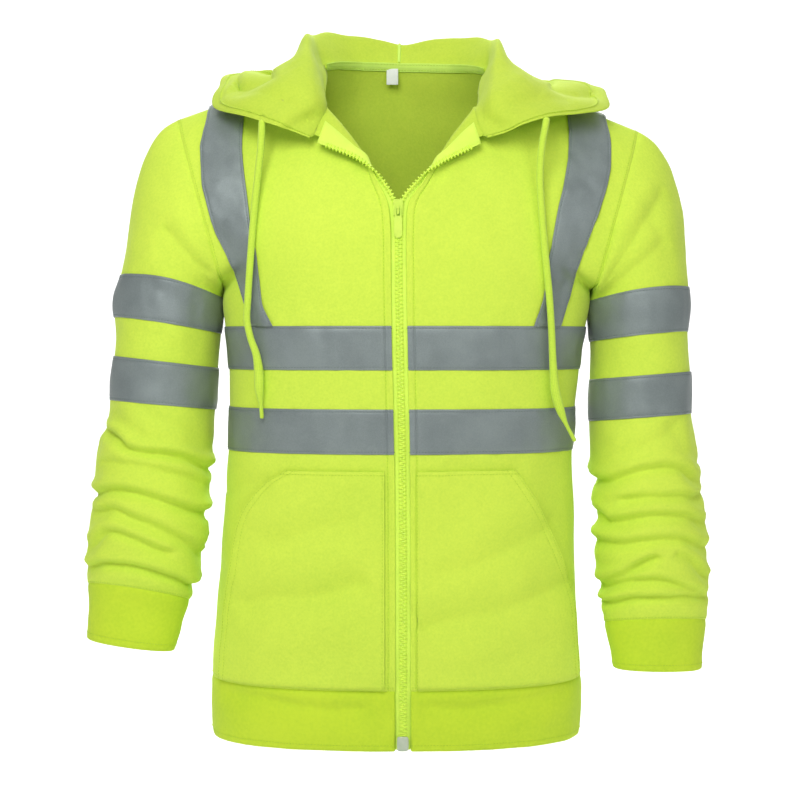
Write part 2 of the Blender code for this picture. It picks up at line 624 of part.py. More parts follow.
class Sheet:
    """A grid of points on the outer face of a piece of cloth, with its normals and thickness.

    inside is a point, or one for each column, that the outer face of the first row looks away from.
    """

    def __init__(self, name, points, thick, inside, closed=False):
        self.name = name
        self.thick = thick
        self.closed = closed
        self.points = np.array(points, dtype=float)
        self.flip = False
        self.normals = grid_normals(self.points, closed, False)
        self.flip = float(np.sum(self.normals[0] * (self.points[0] - inside))) < 0
        self.normals = grid_normals(self.points, closed, self.flip)
        if name in CREASES:
            sunk = crease_depths(self.points, self.normals, CREASES[name])
            sunk[[0, -1]] = 0.0
            if not closed:
                sunk[:, [0, -1]] = 0.0
            self.points = self.points - self.normals * sunk[..., None]
            self.normals = grid_normals(self.points, closed, self.flip)

    def at(self, row, column, lift=0.0):
        """A point of the outer face at a fractional row and column, moved out."""
        rows, columns = self.points.shape[:2]
        r0 = int(min(max(math.floor(row), 0), rows - 2))
        c0 = int(math.floor(column)) % columns if self.closed else int(min(max(math.floor(column), 0), columns - 2))
        c1 = (c0 + 1) % columns
        fr, fc = row - r0, column - math.floor(column) if self.closed else column - c0

        def mix(grid):
            near, far = grid[r0, c0], grid[r0 + 1, c1]
            if fc >= fr:
                return near * (1 - fc) + grid[r0, c1] * (fc - fr) + far * fr
            return near * (1 - fr) + grid[r0 + 1, c0] * (fr - fc) + far * fc

        normal = mix(self.normals)
        return mix(self.points) + normal / np.linalg.norm(normal) * lift

    def row_at_height(self, column, z):
        """The fractional row where a column crosses a height."""
        heights = [self.at(row, column)[2] for row in range(self.points.shape[0])]
        for row in range(len(heights) - 1):
            low, high = heights[row], heights[row + 1]
            if (low - z) * (high - z) <= 0 and low != high:
                return row + (z - low) / (high - low)
        return 0.0 if abs(heights[0] - z) < abs(heights[-1] - z) else len(heights) - 1.0

    def column_at(self, row, x, start=0):
        """The fractional column where a row crosses an x, searched from a starting column."""
        places = [self.at(row, column)[0] for column in range(self.points.shape[1])]
        for column in range(start, len(places) - 1):
            low, high = places[column], places[column + 1]
            if (low - x) * (high - x) <= 0 and low != high:
                return column + (x - low) / (high - low)
        return float(start) if abs(places[start] - x) < abs(places[-1] - x) else len(places) - 1.0


def share_normals(*edges):
    """Give sewn edges the same normals, so that the walls meet in a mitre. Each edge is (sheet, index)."""
    total = sum(sheet.normals[index] for sheet, index in edges)
    total = total / np.linalg.norm(total, axis=-1, keepdims=True)
    for sheet, index in edges:
        sheet.normals[index] = total


def unit(vectors):
    return vectors / np.maximum(np.linalg.norm(vectors, axis=-1, keepdims=True), 1e-9)


def drawn_back(points, normals, closed, first_gap):
    """The grid with its open edges drawn back from their mitre planes by half a seam gap."""
    moved = points.copy()

    def draw(edge, beside, wrap, gap=SEAM):
        line = points[edge]
        tangent = np.roll(line, -1, axis=0) - np.roll(line, 1, axis=0) if wrap else np.gradient(line, axis=0)
        away = unit(np.cross(unit(tangent), normals[edge]))
        toward = np.sign(np.sum(away * (points[beside] - line), axis=-1, keepdims=True))
        moved[edge] += away * toward * gap

    draw((0, slice(None)), (1, slice(None)), closed, first_gap)
    draw((-1, slice(None)), (-2, slice(None)), closed)
    if not closed:
        draw((slice(None), 0), (slice(None), 1), False)
        draw((slice(None), -1), (slice(None), -2), False)
    return moved


def new_object(name, verts, faces, material, smooth=True):
    """A mesh object from points in millimetres."""
    mesh = bpy.data.meshes.new(name)
    mesh.from_pydata([tuple(float(value) * MM for value in point) for point in verts], [], faces)
    mesh.validate()
    if smooth:
        mesh.shade_smooth()
        mesh.set_sharp_from_angle(angle=math.radians(50))
    mesh.materials.append(material)
    item = bpy.data.objects.new(name, mesh)
    bpy.context.collection.objects.link(item)
    return item


def build_wall(name, outer, inner, closed, material, flip=False, crossed=None):
    """A closed wall between two grids of points; from the row "crossed" on, quads split the other way."""
    rows, columns = outer.shape[:2]
    verts = np.concatenate([outer.reshape(-1, 3), inner.reshape(-1, 3)])
    shift = rows * columns

    def index(row, column, layer):
        return layer * shift + row * columns + column % columns

    faces = []
    last = columns if closed else columns - 1
    for row in range(rows - 1):
        for column in range(last):
            corners = [(row, column), (row, column + 1), (row + 1, column + 1), (row + 1, column)]
            if crossed is not None and row >= crossed:
                corners = corners[1:] + corners[:1]
            for triangle in (corners[:3], corners[2:] + corners[:1]):
                faces.append([index(r, c, 0) for r, c in triangle])
                faces.append([index(r, c, 1) for r, c in triangle[::-1]])
    for column in range(last):
        faces.append([index(0, column + 1, 0), index(0, column, 0), index(0, column, 1), index(0, column + 1, 1)])
        end = rows - 1
        faces.append([index(end, column, 0), index(end, column + 1, 0), index(end, column + 1, 1), index(end, column, 1)])
    if not closed:
        for row in range(rows - 1):
            faces.append([index(row, 0, 0), index(row + 1, 0, 0), index(row + 1, 0, 1), index(row, 0, 1)])
            end = columns - 1
            faces.append([index(row + 1, end, 0), index(row, end, 0), index(row, end, 1), index(row + 1, end, 1)])
    if flip:
        faces = [face[::-1] for face in faces]
    return new_object(name, verts, faces, material)


def build_sheet(sheet, material):
    """The solid of a sheet: its outer face and the same moved in by the thickness."""
    outer = drawn_back(sheet.points, sheet.normals, sheet.closed, FOLDED_SEAM.get(sheet.name, SEAM))
    inner = outer - sheet.normals * sheet.thick
    return build_wall(sheet.name, outer, inner, sheet.closed, material, sheet.flip)


def layer(name, base, rows, columns, lift, thick, colour, margin=0.0):
    """A strip sewn flat on a sheet: some of its rows and columns, moved out by lift."""
    points = base.points[rows, columns]
    normals = base.normals[rows, columns]
    low = points + normals * lift
    if margin:
        low[:, 0] += unit(low[:, 1] - low[:, 0]) * margin
        low[:, -1] += unit(low[:, -2] - low[:, -1]) * margin
    return build_wall(name, low + normals * thick, low, base.closed, colour, base.flip)


def patch(name, base, places, lift, thick, colour):
    """A piece that lies on a sheet: a grid of (row, column) places, moved out by lift."""
    low = np.array([[base.at(row, column, lift) for row, column in line] for line in places])
    high = np.array([[base.at(row, column, lift + thick) for row, column in line] for line in places])
    return build_wall(name, high, low, False, colour, base.flip)


def sweep(name, rings, material):
    """A closed solid from equal rings of points, with flat ends."""
    count = len(rings[0])
    verts = [point for ring in rings for point in ring]
    faces = [list(range(count))[::-1], [len(verts) - count + i for i in range(count)]]
    for k in range(len(rings) - 1):
        for i in range(count):
            j = (i + 1) % count
            faces.append([k * count + i, k * count + j, (k + 1) * count + j, (k + 1) * count + i])
    return new_object(name, verts, faces, material)


def material(name, colour, roughness, metallic=0.0):
    """A plain Principled material."""
    made = bpy.data.materials.new(name)
    made.use_nodes = True
    shader = made.node_tree.nodes["Principled BSDF"]
    shader.inputs["Base Color"].default_value = (*colour, 1.0)
    shader.inputs["Roughness"].default_value = roughness
    shader.inputs["Metallic"].default_value = metallic
    return made


# ================================================================ the jacket
def clear_scene():
    for item in list(bpy.data.objects):
        bpy.data.objects.remove(item, do_unlink=True)


def lime(name):
    return material(name, (0.60, 0.85, 0.06), 0.9)


def grey(name):
    return material(name, (0.28, 0.32, 0.33), 0.45)


def axis_points(points):
    """The body's own middle at each point's height."""
    return np.column_stack([table_at(TORSO, points[:, 2], 1), np.zeros(len(points)), points[:, 2]])


def make_sheets():
    """All sewn cloth as sheets, with the normals shared along the seams."""
    sheets = {}
    back_points = back_surface()
    for side in SIDES:
        surface = front_surface(side)
        edge = slice(0, SHOULDER_COLUMNS + 1) if side == "left" else slice(-SHOULDER_COLUMNS - 1, None)
        seam = surface[-1, -SHOULDER_COLUMNS - 1:]
        back_points[-1, edge] = seam[::-1] if side == "left" else seam
        sheets["front_" + side] = Sheet("front_" + side, surface[:, 1:], FLEECE, axis_points(surface[0, 1:]))
        sheets["strip_" + side] = Sheet("strip_" + side, surface[:, :STRIP_COLUMNS + 1], FLEECE,
                                        axis_points(surface[0, :STRIP_COLUMNS + 1]))
    sheets["back_panel"] = Sheet("back_panel", back_points, FLEECE, axis_points(back_points[0]))
    for side in SIDES:
        join_side(sheets, side)
    sheets["hem_band"] = hem_band()
    sheets["hood"] = make_hood(sheets)
    return sheets


def join_side(sheets, side):
    """Add a sleeve and cuff, and mitre the side seam, the shoulder seam and the armhole."""
    front = sheets["front_" + side]
    back = sheets["back_panel"]
    column = 0 if side == "left" else -1
    edge = slice(0, SHOULDER_COLUMNS + 1) if side == "left" else slice(-SHOULDER_COLUMNS - 1, None)
    turn = -1 if side == "left" else 1
    shoulder = unit(front.normals[-1, -SHOULDER_COLUMNS - 1:] + back.normals[-1, edge][::turn])
    front.normals[-1, -SHOULDER_COLUMNS - 1:] = shoulder
    back.normals[-1, edge] = shoulder[::turn]
    seam = unit(front.normals[:, -1] + back.normals[:, column])
    front.normals[:, -1] = seam
    back.normals[:, column] = seam
    loop = np.concatenate([front.points[LOWER_ROWS:, -1], back.points[-2:LOWER_ROWS:-1, column]])
    sleeve = Sheet("sleeve_" + side, sleeve_surface(side, loop), FLEECE, loop.mean(axis=0), closed=True)
    into_sleeve = unit(sleeve.points[1] - sleeve.points[0])
    into_body = np.concatenate([
        front.points[LOWER_ROWS:, -2] - front.points[LOWER_ROWS:, -1],
        back.points[-2:LOWER_ROWS:-1, column - turn] - back.points[-2:LOWER_ROWS:-1, column],
    ])
    into_body[0] = front.points[LOWER_ROWS - 1, -1] - front.points[LOWER_ROWS, -1]
    both = np.concatenate([seam[LOWER_ROWS:], seam[-2:LOWER_ROWS:-1]]) + sleeve.normals[0]
    ring = mitred(both, unit(into_body) + into_sleeve)
    sleeve.normals[0] = ring
    front.normals[LOWER_ROWS:, -1] = ring[:YOKE_ROWS + 1]
    back.normals[LOWER_ROWS:, column] = np.concatenate([ring[:1], ring[:YOKE_ROWS - 1:-1]])
    rings = [sleeve_ring(side, line, len(loop)) for line in sleeve_lines(side, CUFF_LINE, CUFF_LINE + 1)]
    cuff = Sheet("cuff_" + side, rings, RIB, rings[0].mean(axis=0), closed=True)
    share_normals((sleeve, -1), (cuff, 0))
    sheets["sleeve_" + side] = sleeve
    sheets["cuff_" + side] = cuff


def mitred(both, into_pieces):
    """The normal along a seam; where the pieces fold back on each other it leans into the fold."""
    folded = np.clip(1.4 - np.linalg.norm(both, axis=1, keepdims=True), 0, 1)
    return unit(both + into_pieces * folded)


def make_hood(sheets):
    """The hood, sewn to the neck seam from the left zip top round the back to the right zip top."""
    inner_columns = STRIP_COLUMNS - 1 + NECK_COLUMNS
    left, right, back = (sheets[name] for name in ("front_left", "front_right", "back_panel"))
    middle = slice(SHOULDER_COLUMNS + 1, -SHOULDER_COLUMNS - 1)
    neck = np.concatenate([left.points[-1, :inner_columns + 1], back.points[-1, middle],
                           right.points[-1, inner_columns::-1]])
    normals = np.concatenate([left.normals[-1, :inner_columns + 1], back.normals[-1, middle],
                              right.normals[-1, inner_columns::-1]])
    hood = Sheet("hood", hood_surface(neck), FLEECE, neck - normals)
    below = np.concatenate([left.points[-2, :inner_columns + 1], back.points[-2, middle],
                            right.points[-2, inner_columns::-1]])
    shared = mitred(normals + hood.normals[0], unit(below - neck) + unit(hood.points[1] - neck))
    hood.normals[0] = shared
    left.normals[-1, :inner_columns + 1] = shared[:inner_columns + 1]
    right.normals[-1, inner_columns::-1] = shared[-inner_columns - 1:]
    back.normals[-1, middle] = shared[inner_columns + 1:-inner_columns - 1]
    return hood


def hem_band():
    """The band round the hem, from one side of the zip to the other."""
    rows = []
    for k in range(4):
        z = Z_HEM_SEAM + (Z_HEM - Z_HEM_SEAM) * k / 3
        zip_x = table_at(ZIP_LINE, z)
        right = front_angle(z, zip_x + TAPE_EDGE)
        left = front_angle(z, zip_x - TAPE_EDGE) + 2 * math.pi
        angles = np.linspace(right, left, 200)
        wrapped = [angle if angle <= math.pi else angle - 2 * math.pi for angle in angles]
        rows.append(even([torso(z, angle) for angle in wrapped], np.linspace(0, 1, HEM_COLUMNS + 1)))
    return Sheet("hem_band", rows, RIB, axis_points(rows[0]))


def build_tapes(sheets):
    """The reflective bands round the body and the sleeves."""
    for level, (bottom, top) in BANDS.items():
        rows = slice(bottom, top + 1)
        for side in SIDES:
            name = "front_tape_%s_%s" % (level, side)
            layer(name, sheets["front_" + side], rows, slice(0, None), TAPE_LIFT, TAPE, grey(name), TAPE_MARGIN)
        name = "back_tape_" + level
        layer(name, sheets["back_panel"], rows, slice(0, None), TAPE_LIFT, TAPE, grey(name), TAPE_MARGIN)
    for side in SIDES:
        for level, line in (("upper", 0), ("lower", 2)):
            top = CAP_ROWS + sum(row[4] for row in SLEEVE_LINES[side][:line])
            rows = slice(top, top + SLEEVE_LINES[side][line][4] + 1)
            name = "sleeve_tape_%s_%s" % (level, side)
            layer(name, sheets["sleeve_" + side], rows, slice(0, None), TAPE_LIFT, TAPE, grey(name))


def build_braces(sheets):
    """The tapes that run up from the bands, over the shoulders and down the back."""
    bottom = BANDS["upper"][1]
    back = sheets["back_panel"]
    last = LOWER_ROWS + YOKE_ROWS
    for side, sign in SIDES.items():
        front = sheets["front_" + side]
        low = []
        high = []
        for row in [bottom + 0.05] + list(range(bottom + 1, last)) + [last - 0.03]:
            z = front.at(row, front.points.shape[1] * 0.6)[2]
            edges = brace_edges(side, front, row, BRACES[side])
            add_line(front, row, edges, low, high)
        for row in [last - 0.03] + list(range(last - 1, bottom, -1)) + [bottom + 0.05]:
            edges = brace_edges(side, back, row, [(r[0], SHOULDER_SHIFT + sign * r[1], SHOULDER_SHIFT + sign * r[2])
                                                  for r in BRACE_BACK])
            add_line(back, row, edges, low, high)
        name = "brace_" + side
        crossed = len(low) // 2 if side == "right" else None
        build_wall(name, np.array(high), np.array(low), False, grey(name), sign < 0, crossed)


def brace_edges(side, base, row, table):
    """The fractional columns of a brace's inner and outer edge on one row of a sheet."""
    columns = np.linspace(0, base.points.shape[1] - 1, 4 * base.points.shape[1])
    if base.name.startswith("front"):
        columns = columns[columns > STRIP_COLUMNS - 1]
    elif side == "left":
        columns = columns[columns < base.points.shape[1] / 2][::-1]
    else:
        columns = columns[columns > base.points.shape[1] / 2]
    places = np.array([base.at(row, column) for column in columns])
    found = []
    for edge in (1, 2):
        wanted = table_at(table, places[:, 2], edge)
        ahead = (places[:, 0] - wanted) * SIDES[side]
        at = int(np.argmax(ahead > 0)) if (ahead > 0).any() else len(ahead) - 1
        before, after = ahead[at - 1], ahead[at]
        share = before / (before - after) if before != after else 0.0
        found.append(columns[at - 1] + (columns[at] - columns[at - 1]) * min(max(share, 0.0), 1.0))
    return found


def add_line(base, row, edges, low, high):
    columns = np.linspace(edges[0], edges[1], BRACE_COLUMNS + 1)
    low.append([base.at(row, column, BRACE_LIFT) for column in columns])
    high.append([base.at(row, column, BRACE_LIFT + TAPE) for column in columns])


def build_pockets(sheets):
    """The front pockets: patches with a slanted mouth, sewn at the top, the inner edge and the hem seam."""
    for side in SIDES:
        front = sheets["front_" + side]
        pocket = POCKET[side]
        middle = front.points.shape[1] // 2
        top = front.row_at_height(middle, pocket["top"])
        rows = [0.02] + list(range(1, math.ceil(top))) + [top]
        low = []
        high = []
        for k, row in enumerate(rows):
            z = front.at(row, middle)[2]
            inner = front.column_at(row, pocket["inner"])
            outer = front.column_at(row, float(table_at(pocket["mouth"][::-1], z)))
            columns = np.linspace(inner, outer, POCKET_COLUMNS + 1)
            gape = (0.35 + 0.65 * math.sin(math.pi * k / (len(rows) - 1))) * POCKET_GAPE
            lifts = [POCKET_LIFT + gape * (i / POCKET_COLUMNS) ** 2 for i in range(POCKET_COLUMNS + 1)]
            low.append([front.at(row, column, lift) for column, lift in zip(columns, lifts)])
            high.append([front.at(row, column, lift + FLEECE) for column, lift in zip(columns, lifts)])
        name = "pocket_" + side
        build_wall(name, np.array(high), np.array(low), False, lime(name), front.flip)


def build_zips(sheets):
    """The two halves of the zip: a tape behind each front's edge and the bead of its teeth."""
    for side, sign in SIDES.items():
        edge = sheets["strip_" + side]
        rows = []
        for z in (Z_HEM + 1.0, -687.0, -665.0, Z_HEM_SEAM):
            tooth, body = front_row(side, z)
            rows.append((tooth, body[0], FORWARD, ZIP_TAPE_HEM))
        last = edge.points.shape[0] - 1
        for row in [0.12] + list(range(1, last)) + [last - 0.35]:
            turned = min(max((row - LOWER_ROWS - 3.5) / 2.0, 0.0), 1.0)
            normal = unit(FORWARD * (1 - turned) + edge.normals[round(row), 0] * turned)
            wide = np.linalg.norm(edge.at(row, STRIP_COLUMNS) - edge.at(row, 0))
            reach = 4.0 if row == last - 0.35 else min(ZIP_TAPE, 0.5 * wide + 3.0 * (wide > 13.0))
            rows.append((edge.at(row, 0), edge.at(row, 1), normal, reach))
        rings = []
        for tooth, beside, normal, reach in rows:
            across = unit(beside - tooth)
            profile = [(min(a, reach), n) for a, n in ZIP_PROFILE]
            rings.append([tooth + across * a + normal * n for a, n in profile])
        if sign < 0:
            rings = [ring[::-1] for ring in rings]
        sweep("zip_" + side, rings, lime("zip_" + side))


def box_mesh(name, low, high, colour):
    """A box between two corners, in millimetres."""
    rings = [[(low[0], low[1], z), (high[0], low[1], z), (high[0], high[1], z), (low[0], high[1], z)]
             for z in (low[2], high[2])]
    return sweep(name, rings, colour)


def combine(item, other, operation):
    """Apply a Boolean with a helper that is hidden from the build."""
    other.hide_render = True
    other.display_type = "WIRE"
    step = item.modifiers.new(operation.title(), "BOOLEAN")
    step.operation = operation
    step.object = other


def build_slider():
    """The zip's slider with the arch that holds the pull, and the pull with its window."""
    colour = material("zip_metal", (0.75, 0.9, 0.25), 0.4)
    x, y, z = SLIDER
    slider = box_mesh("zip_slider", (x - 5, y - 1.6, z - 7), (x + 5, y, z + 10), colour)
    for name, low, high in (
        ("slider_neck", (x - 1, y - 1.0, z + 6.5), (x + 1, y + 5.4, z + 9.5)),
        ("slider_back", (x - 4, y + 4.8, z - 6), (x + 4, y + 6.0, z + 10)),
        ("slider_post_low", (x - 1, y - 5.6, z - 6.0), (x + 1, y - 1.0, z - 4.6)),
        ("slider_post_high", (x - 1, y - 5.6, z + 2.4), (x + 1, y - 1.0, z + 3.8)),
        ("slider_arch", (x - 0.9, y - 6.6, z - 6.1), (x + 0.9, y - 5.2, z + 3.9)),
    ):
        combine(slider, box_mesh(name, low, high, colour), "UNION")
    axis = (x, y - PULL_AXIS, z + 1.0)
    half = PULL_WIDE / 2
    thick = PULL_THICK / 2
    outline = ((-half + 1.2, 0.75), (half - 1.2, 0.75), (half - 0.6, -2), (half - 0.6, -9), (half, -12),
               (half, -PULL_LONG + 3), (half - 2.4, -PULL_LONG), (-half + 2.4, -PULL_LONG),
               (-half, -PULL_LONG + 3), (-half, -12), (-half + 0.6, -9), (-half + 0.6, -2))
    rings = [[(px, depth, pz) for px, pz in outline] for depth in (thick, -thick)]
    pull = sweep("zip_pull", rings, material("zip_pull", (0.8, 0.95, 0.3), 0.5))
    hole = box_mesh("pull_window", (-1.9, -3, -8.6), (1.9, 3, -0.75), colour)
    for item in (pull, hole):
        item.location = [value * MM for value in axis]
    combine(pull, hole, "DIFFERENCE")


def build_neck_tape(sheets):
    """The tape over the neck seam inside the back, with its blank label hanging from it."""
    back = sheets["back_panel"]
    middle = slice(SHOULDER_COLUMNS, back.points.shape[1] - SHOULDER_COLUMNS)
    seam = back.points[-1, middle]
    normals = back.normals[-1, middle]
    down = unit(back.points[-2, middle] - seam)
    face = seam - normals * (FLEECE + NECK_TAPE_LIFT)
    rings = []
    for point, away, inward in zip(face, down, -normals):
        low = point + away * NECK_TAPE_HIGH / 2
        high = point - away * NECK_TAPE_HIGH / 2
        rings.append([low, high, high + inward * TAPE, low + inward * TAPE])
    rings[0], rings[-1] = [
        [end + (beside - end) * 0.15 for end, beside in zip(rings[k], rings[near])] for k, near in ((0, 1), (-1, -2))
    ]
    tape = sweep("neck_tape", rings, lime("neck_tape"))
    label = []
    at = len(face) // 2
    for drop in LABEL_DROPS:
        ring = []
        for x, lift in ((LABEL_X[0], 1.5), (LABEL_X[1], 1.5), (LABEL_X[1], 2.1), (LABEL_X[0], 2.1)):
            point = face[at] + HANGING * drop
            ring.append((x, point[1] - lift, point[2]))
        label.append(ring)
    combine(tape, sweep("neck_label", label, lime("neck_label")), "UNION")


def build_drawstrings():
    """The two free ends of the hood's drawstring, each knotted above its tip."""
    for side, route in CORD_ROUTE.items():
        name = "drawstring_" + side
        curve = bpy.data.curves.new(name, "CURVE")
        curve.dimensions = "3D"
        curve.bevel_depth = CORD_THICK / 2 * MM
        curve.bevel_resolution = 2
        curve.use_fill_caps = True
        points = np.array([row[:3] for row in route], dtype=float)
        widths = np.array([[row[3]] for row in route], dtype=float)
        lengths = np.concatenate([[0.0], np.cumsum(np.linalg.norm(np.diff(points, axis=0), axis=1))])
        steps = np.linspace(0, lengths[-1], int(lengths[-1] / CORD_STEP) + 1)
        path = hermite(lengths, points, steps)
        radii = hermite(lengths, widths, steps)[:, 0]
        spline = curve.splines.new("POLY")
        spline.points.add(len(path) - 1)
        for place, point, radius in zip(spline.points, path, radii):
            place.co = (*(point * MM), 1.0)
            place.radius = radius
        curve.materials.append(lime(name))
        bpy.context.collection.objects.link(bpy.data.objects.new(name, curve))


def main():
    clear_scene()
    sheets = make_sheets()
    for name, sheet in sheets.items():
        if not name.startswith("strip_"):
            build_sheet(sheet, lime(name))
    build_tapes(sheets)
    build_braces(sheets)
    build_pockets(sheets)
    build_zips(sheets)
    build_slider()
    build_neck_tape(sheets)
    build_drawstrings()


main()
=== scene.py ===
"""Reflective hooded jacket: its cloth, tapes, zip, cords and stitching, with a studio to show it in.

Metres in the scene, millimetres in the tables. +Z up, the front faces -Y, the origin is where the neck and
shoulders of a wearer hold the jacket. "left" and "right" are the viewer's, who faces the front.
"""
import functools
import math

import bpy
import numpy as np
from bpy.props import FloatProperty, FloatVectorProperty, PointerProperty
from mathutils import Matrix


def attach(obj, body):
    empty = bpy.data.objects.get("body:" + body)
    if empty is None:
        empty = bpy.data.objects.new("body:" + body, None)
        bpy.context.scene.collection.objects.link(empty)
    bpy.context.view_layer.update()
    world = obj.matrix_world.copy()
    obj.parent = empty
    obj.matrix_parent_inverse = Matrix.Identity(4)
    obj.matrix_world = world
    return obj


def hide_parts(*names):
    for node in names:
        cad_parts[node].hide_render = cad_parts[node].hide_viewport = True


bl_info = {
    "name": "Reflective hooded jacket",
    "version": (1, 0, 0),
    "blender": (4, 5, 0),
    "location": "3D View > Sidebar > Jacket",
    "description": "Builds the cloth, tapes, zip, cords and stitching of a reflective hooded jacket",
    "category": "Add Mesh",
}

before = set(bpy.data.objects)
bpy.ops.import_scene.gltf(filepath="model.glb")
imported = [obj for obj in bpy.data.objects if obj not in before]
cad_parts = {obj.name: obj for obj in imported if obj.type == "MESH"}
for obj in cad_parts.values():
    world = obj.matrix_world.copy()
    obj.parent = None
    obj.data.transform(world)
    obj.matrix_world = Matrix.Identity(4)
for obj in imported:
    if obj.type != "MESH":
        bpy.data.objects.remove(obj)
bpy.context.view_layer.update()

MM = 0.001
SIDES = {"left": -1.0, "right": 1.0}

# ---------------------------------------------------------------- driving sizes, mm
FLEECE = 2.2            # thickness of the body cloth
RIB = 3.0               # thickness of the doubled hem band and cuffs
TAPE = 0.8              # thickness of a reflective tape
TAPE_LIFT = 0.3         # gap under a tape
BRACE_LIFT = 1.5
POCKET_LIFT = 1.3
POCKET_GAPE = 3.0       # how far a pocket's mouth stands off
SEAM = 0.3
Z_HEM = -708.0
Z_HEM_SEAM = -643.0
Z_ARMPIT = -219.0
SHOULDER_SHIFT = 9.0    # the shoulders sit this far to the right of the hem's centre
NECK_SHIFT = 3.0        # and the neck this far
SHOULDER_OUT = 180.0
SHOULDER_ROLL = 0.025   # and the right one is lower, as a slope
TAPE_EDGE = 9.5         # from the teeth to the edge of a front
ROLL_EDGE = 14.0        # from the teeth to the line where the open fronts roll over

# ---------------------------------------------------------------- the body below the arms
# one row for each level: its height, the middle, the half width, and the depths to front and back
TORSO = (
    # z     middle  half   front  back
    (-708, -4.5, 205.0, 108, 104),
    (-643, -4.0, 206.4, 116, 110),
    (-596, -4.0, 203.5, 120, 112),
    (-528, -2.3, 199.0, 116, 104),
    (-448, -0.6, 195.2, 114, 98),
    (-407, 0.0, 192.6, 115, 98),
    (-326, 3.4, 194.8, 120, 105),
    (-286, 4.5, 197.0, 122, 111),
    (-232, 7.3, 204.0, 122, 117),
    (-190, 8.0, 207.0, 121, 118),
)
FRONT_POWER = 2.35
BACK_POWER = 2.6
# the zip's line, x at each height
ZIP_LINE = ((-708, 3.2), (-386, 2.1), (-260, -0.5), (-132, -2.1), (-60, -2.1))

# ---------------------------------------------------------------- the yokes, from the armpits up
# guide lines that climb from the armpit level to a seam; across: 0 at the centre, 1 at the armhole
# each point is (outward, forward or back, up)
YOKE_FRONT = (
    # across   a quarter up        half up            three quarters      nine tenths        on the seam
    (0.25, (72, -115, -168), (88, -101, -113), (105, -78, -64), (113, -50, -22), (95, 24, 38)),
    (0.60, (152, -91, -172), (159, -80, -112), (168, -50, -54), (173, -24, -18), (176, 10, 5)),
    (1.00, (207, -60, -203), (224, -70, -141), (242, -44, -84), (253, -20, -50), (260, 4, -28)),
)
YOKE_BACK = (
    (0.00, (0, 117, -162), (0, 111, -92), (0, 97, -22), (0, 89, 16), (0, 79, 47)),
    (0.20, (42, 116, -164), (46, 109, -96), (51, 93, -26), (53, 82, 13), (53, 67, 46)),
    (0.40, (78, 112, -166), (86, 103, -102), (94, 80, -34), (99, 58, 4), (95, 24, 38)),
    (0.70, (150, 96, -172), (160, 85, -112), (171, 58, -50), (176, 36, -18), (176, 10, 5)),
    (1.00, (200, 54, -206), (211, 66, -146), (234, 44, -86), (250, 22, -50), (260, 4, -28)),
)
YOKE_STEPS = (0.0, 0.25, 0.5, 0.75, 0.9, 1.0)
YOKE_LEAD = -0.15       # the body's own row below the armpits, on the same scale

# the open fronts: the line where each rolls over, the line of its teeth, and how far the flap stands off
LAPEL = {
    "left": (
        # up    roll x, y, z              teeth x, y, z            lift
        (0.00, (-15.3, -121.5, -232), (-1.1, -122, -232), 0.0),
        (0.25, (-15.8, -120.5, -180), (-2.0, -121, -180), 0.0),
        (0.40, (-16.4, -118.6, -146), (-2.4, -119.3, -145), 0.0),
        (0.46, (-17.0, -117.0, -132), (-2.9, -118, -130), 0.0),
        (0.58, (-27.0, -110.0, -110), (-14.0, -115, -109), 1.0),
        (0.70, (-33.0, -104.0, -86), (-28.5, -113, -90), 3.0),
        (0.80, (-49.0, -88.0, -61.5), (-55.0, -102, -73), 5.0),
        (0.90, (-69.0, -69.0, -36.0), (-75.0, -97, -65), 6.0),
        (1.00, (-87.0, -50.0, -13.5), (-95.6, -89, -57), 7.0),
    ),
    "right": (
        (0.00, (13.7, -121.5, -232), (-0.5, -122, -232), 0.0),
        (0.25, (12.6, -120.5, -180), (-0.8, -121, -180), 0.0),
        (0.40, (12.8, -118.6, -146), (-0.6, -119.3, -145), 0.0),
        (0.46, (13.0, -117.0, -132), (-1.1, -118, -130), 0.0),
        (0.58, (25.0, -110.0, -110), (13.0, -115, -107), 1.0),
        (0.70, (38.0, -104.0, -86), (33.5, -113, -91), 3.0),
        (0.80, (51.6, -88.0, -60.0), (52.0, -102, -76), 5.0),
        (0.90, (70.3, -69.0, -37.0), (73.8, -97, -67), 6.0),
        (1.00, (85.0, -50.0, -17.5), (94.0, -89, -57), 7.0),
    ),
}

# ---------------------------------------------------------------- sleeves, down to the end of the cuff
# one row for each level: its height, its middle, its half width and its half depth
SLEEVE = {
    "left": (
        # z      x      y     half  deep
        (-620, -299.0, -39, 49.0, 37),
        (-600, -296.0, -36, 50.5, 38),
        (-566, -290.0, -31, 53.5, 41),
        (-543, -286.0, -28, 60.0, 51),
        (-513, -283.5, -23, 64.0, 58),
        (-473, -279.5, -17, 65.2, 62),
        (-434, -276.0, -11, 65.2, 65),
        (-394, -274.0, -5, 64.5, 67),
        (-354, -267.5, 0, 59.0, 67),
        (-313, -265.0, 3, 59.0, 68),
        (-262, -260.0, 0, 58.5, 69),
        (-225, -259.0, 0, 61.0, 69),
        (-190, -253.0, 0, 58.0, 66),
    ),
    "right": (
        (-640, 283.5, -42, 49.5, 37),
        (-608, 282.8, -37, 50.5, 39),
        (-592, 282.0, -35, 54.0, 42),
        (-570, 281.8, -32, 58.5, 49),
        (-552, 281.6, -29, 60.0, 54),
        (-513, 279.2, -23, 62.4, 60),
        (-473, 278.3, -17, 61.8, 63),
        (-434, 275.3, -11, 60.4, 65),
        (-394, 272.6, -5, 58.8, 67),
        (-354, 269.5, 0, 56.8, 67),
        (-313, 270.0, 3, 56.0, 68),
        (-262, 268.0, 0, 55.0, 69),
        (-225, 267.0, 0, 58.0, 69),
        (-190, 262.0, 0, 56.0, 66),
    ),
}
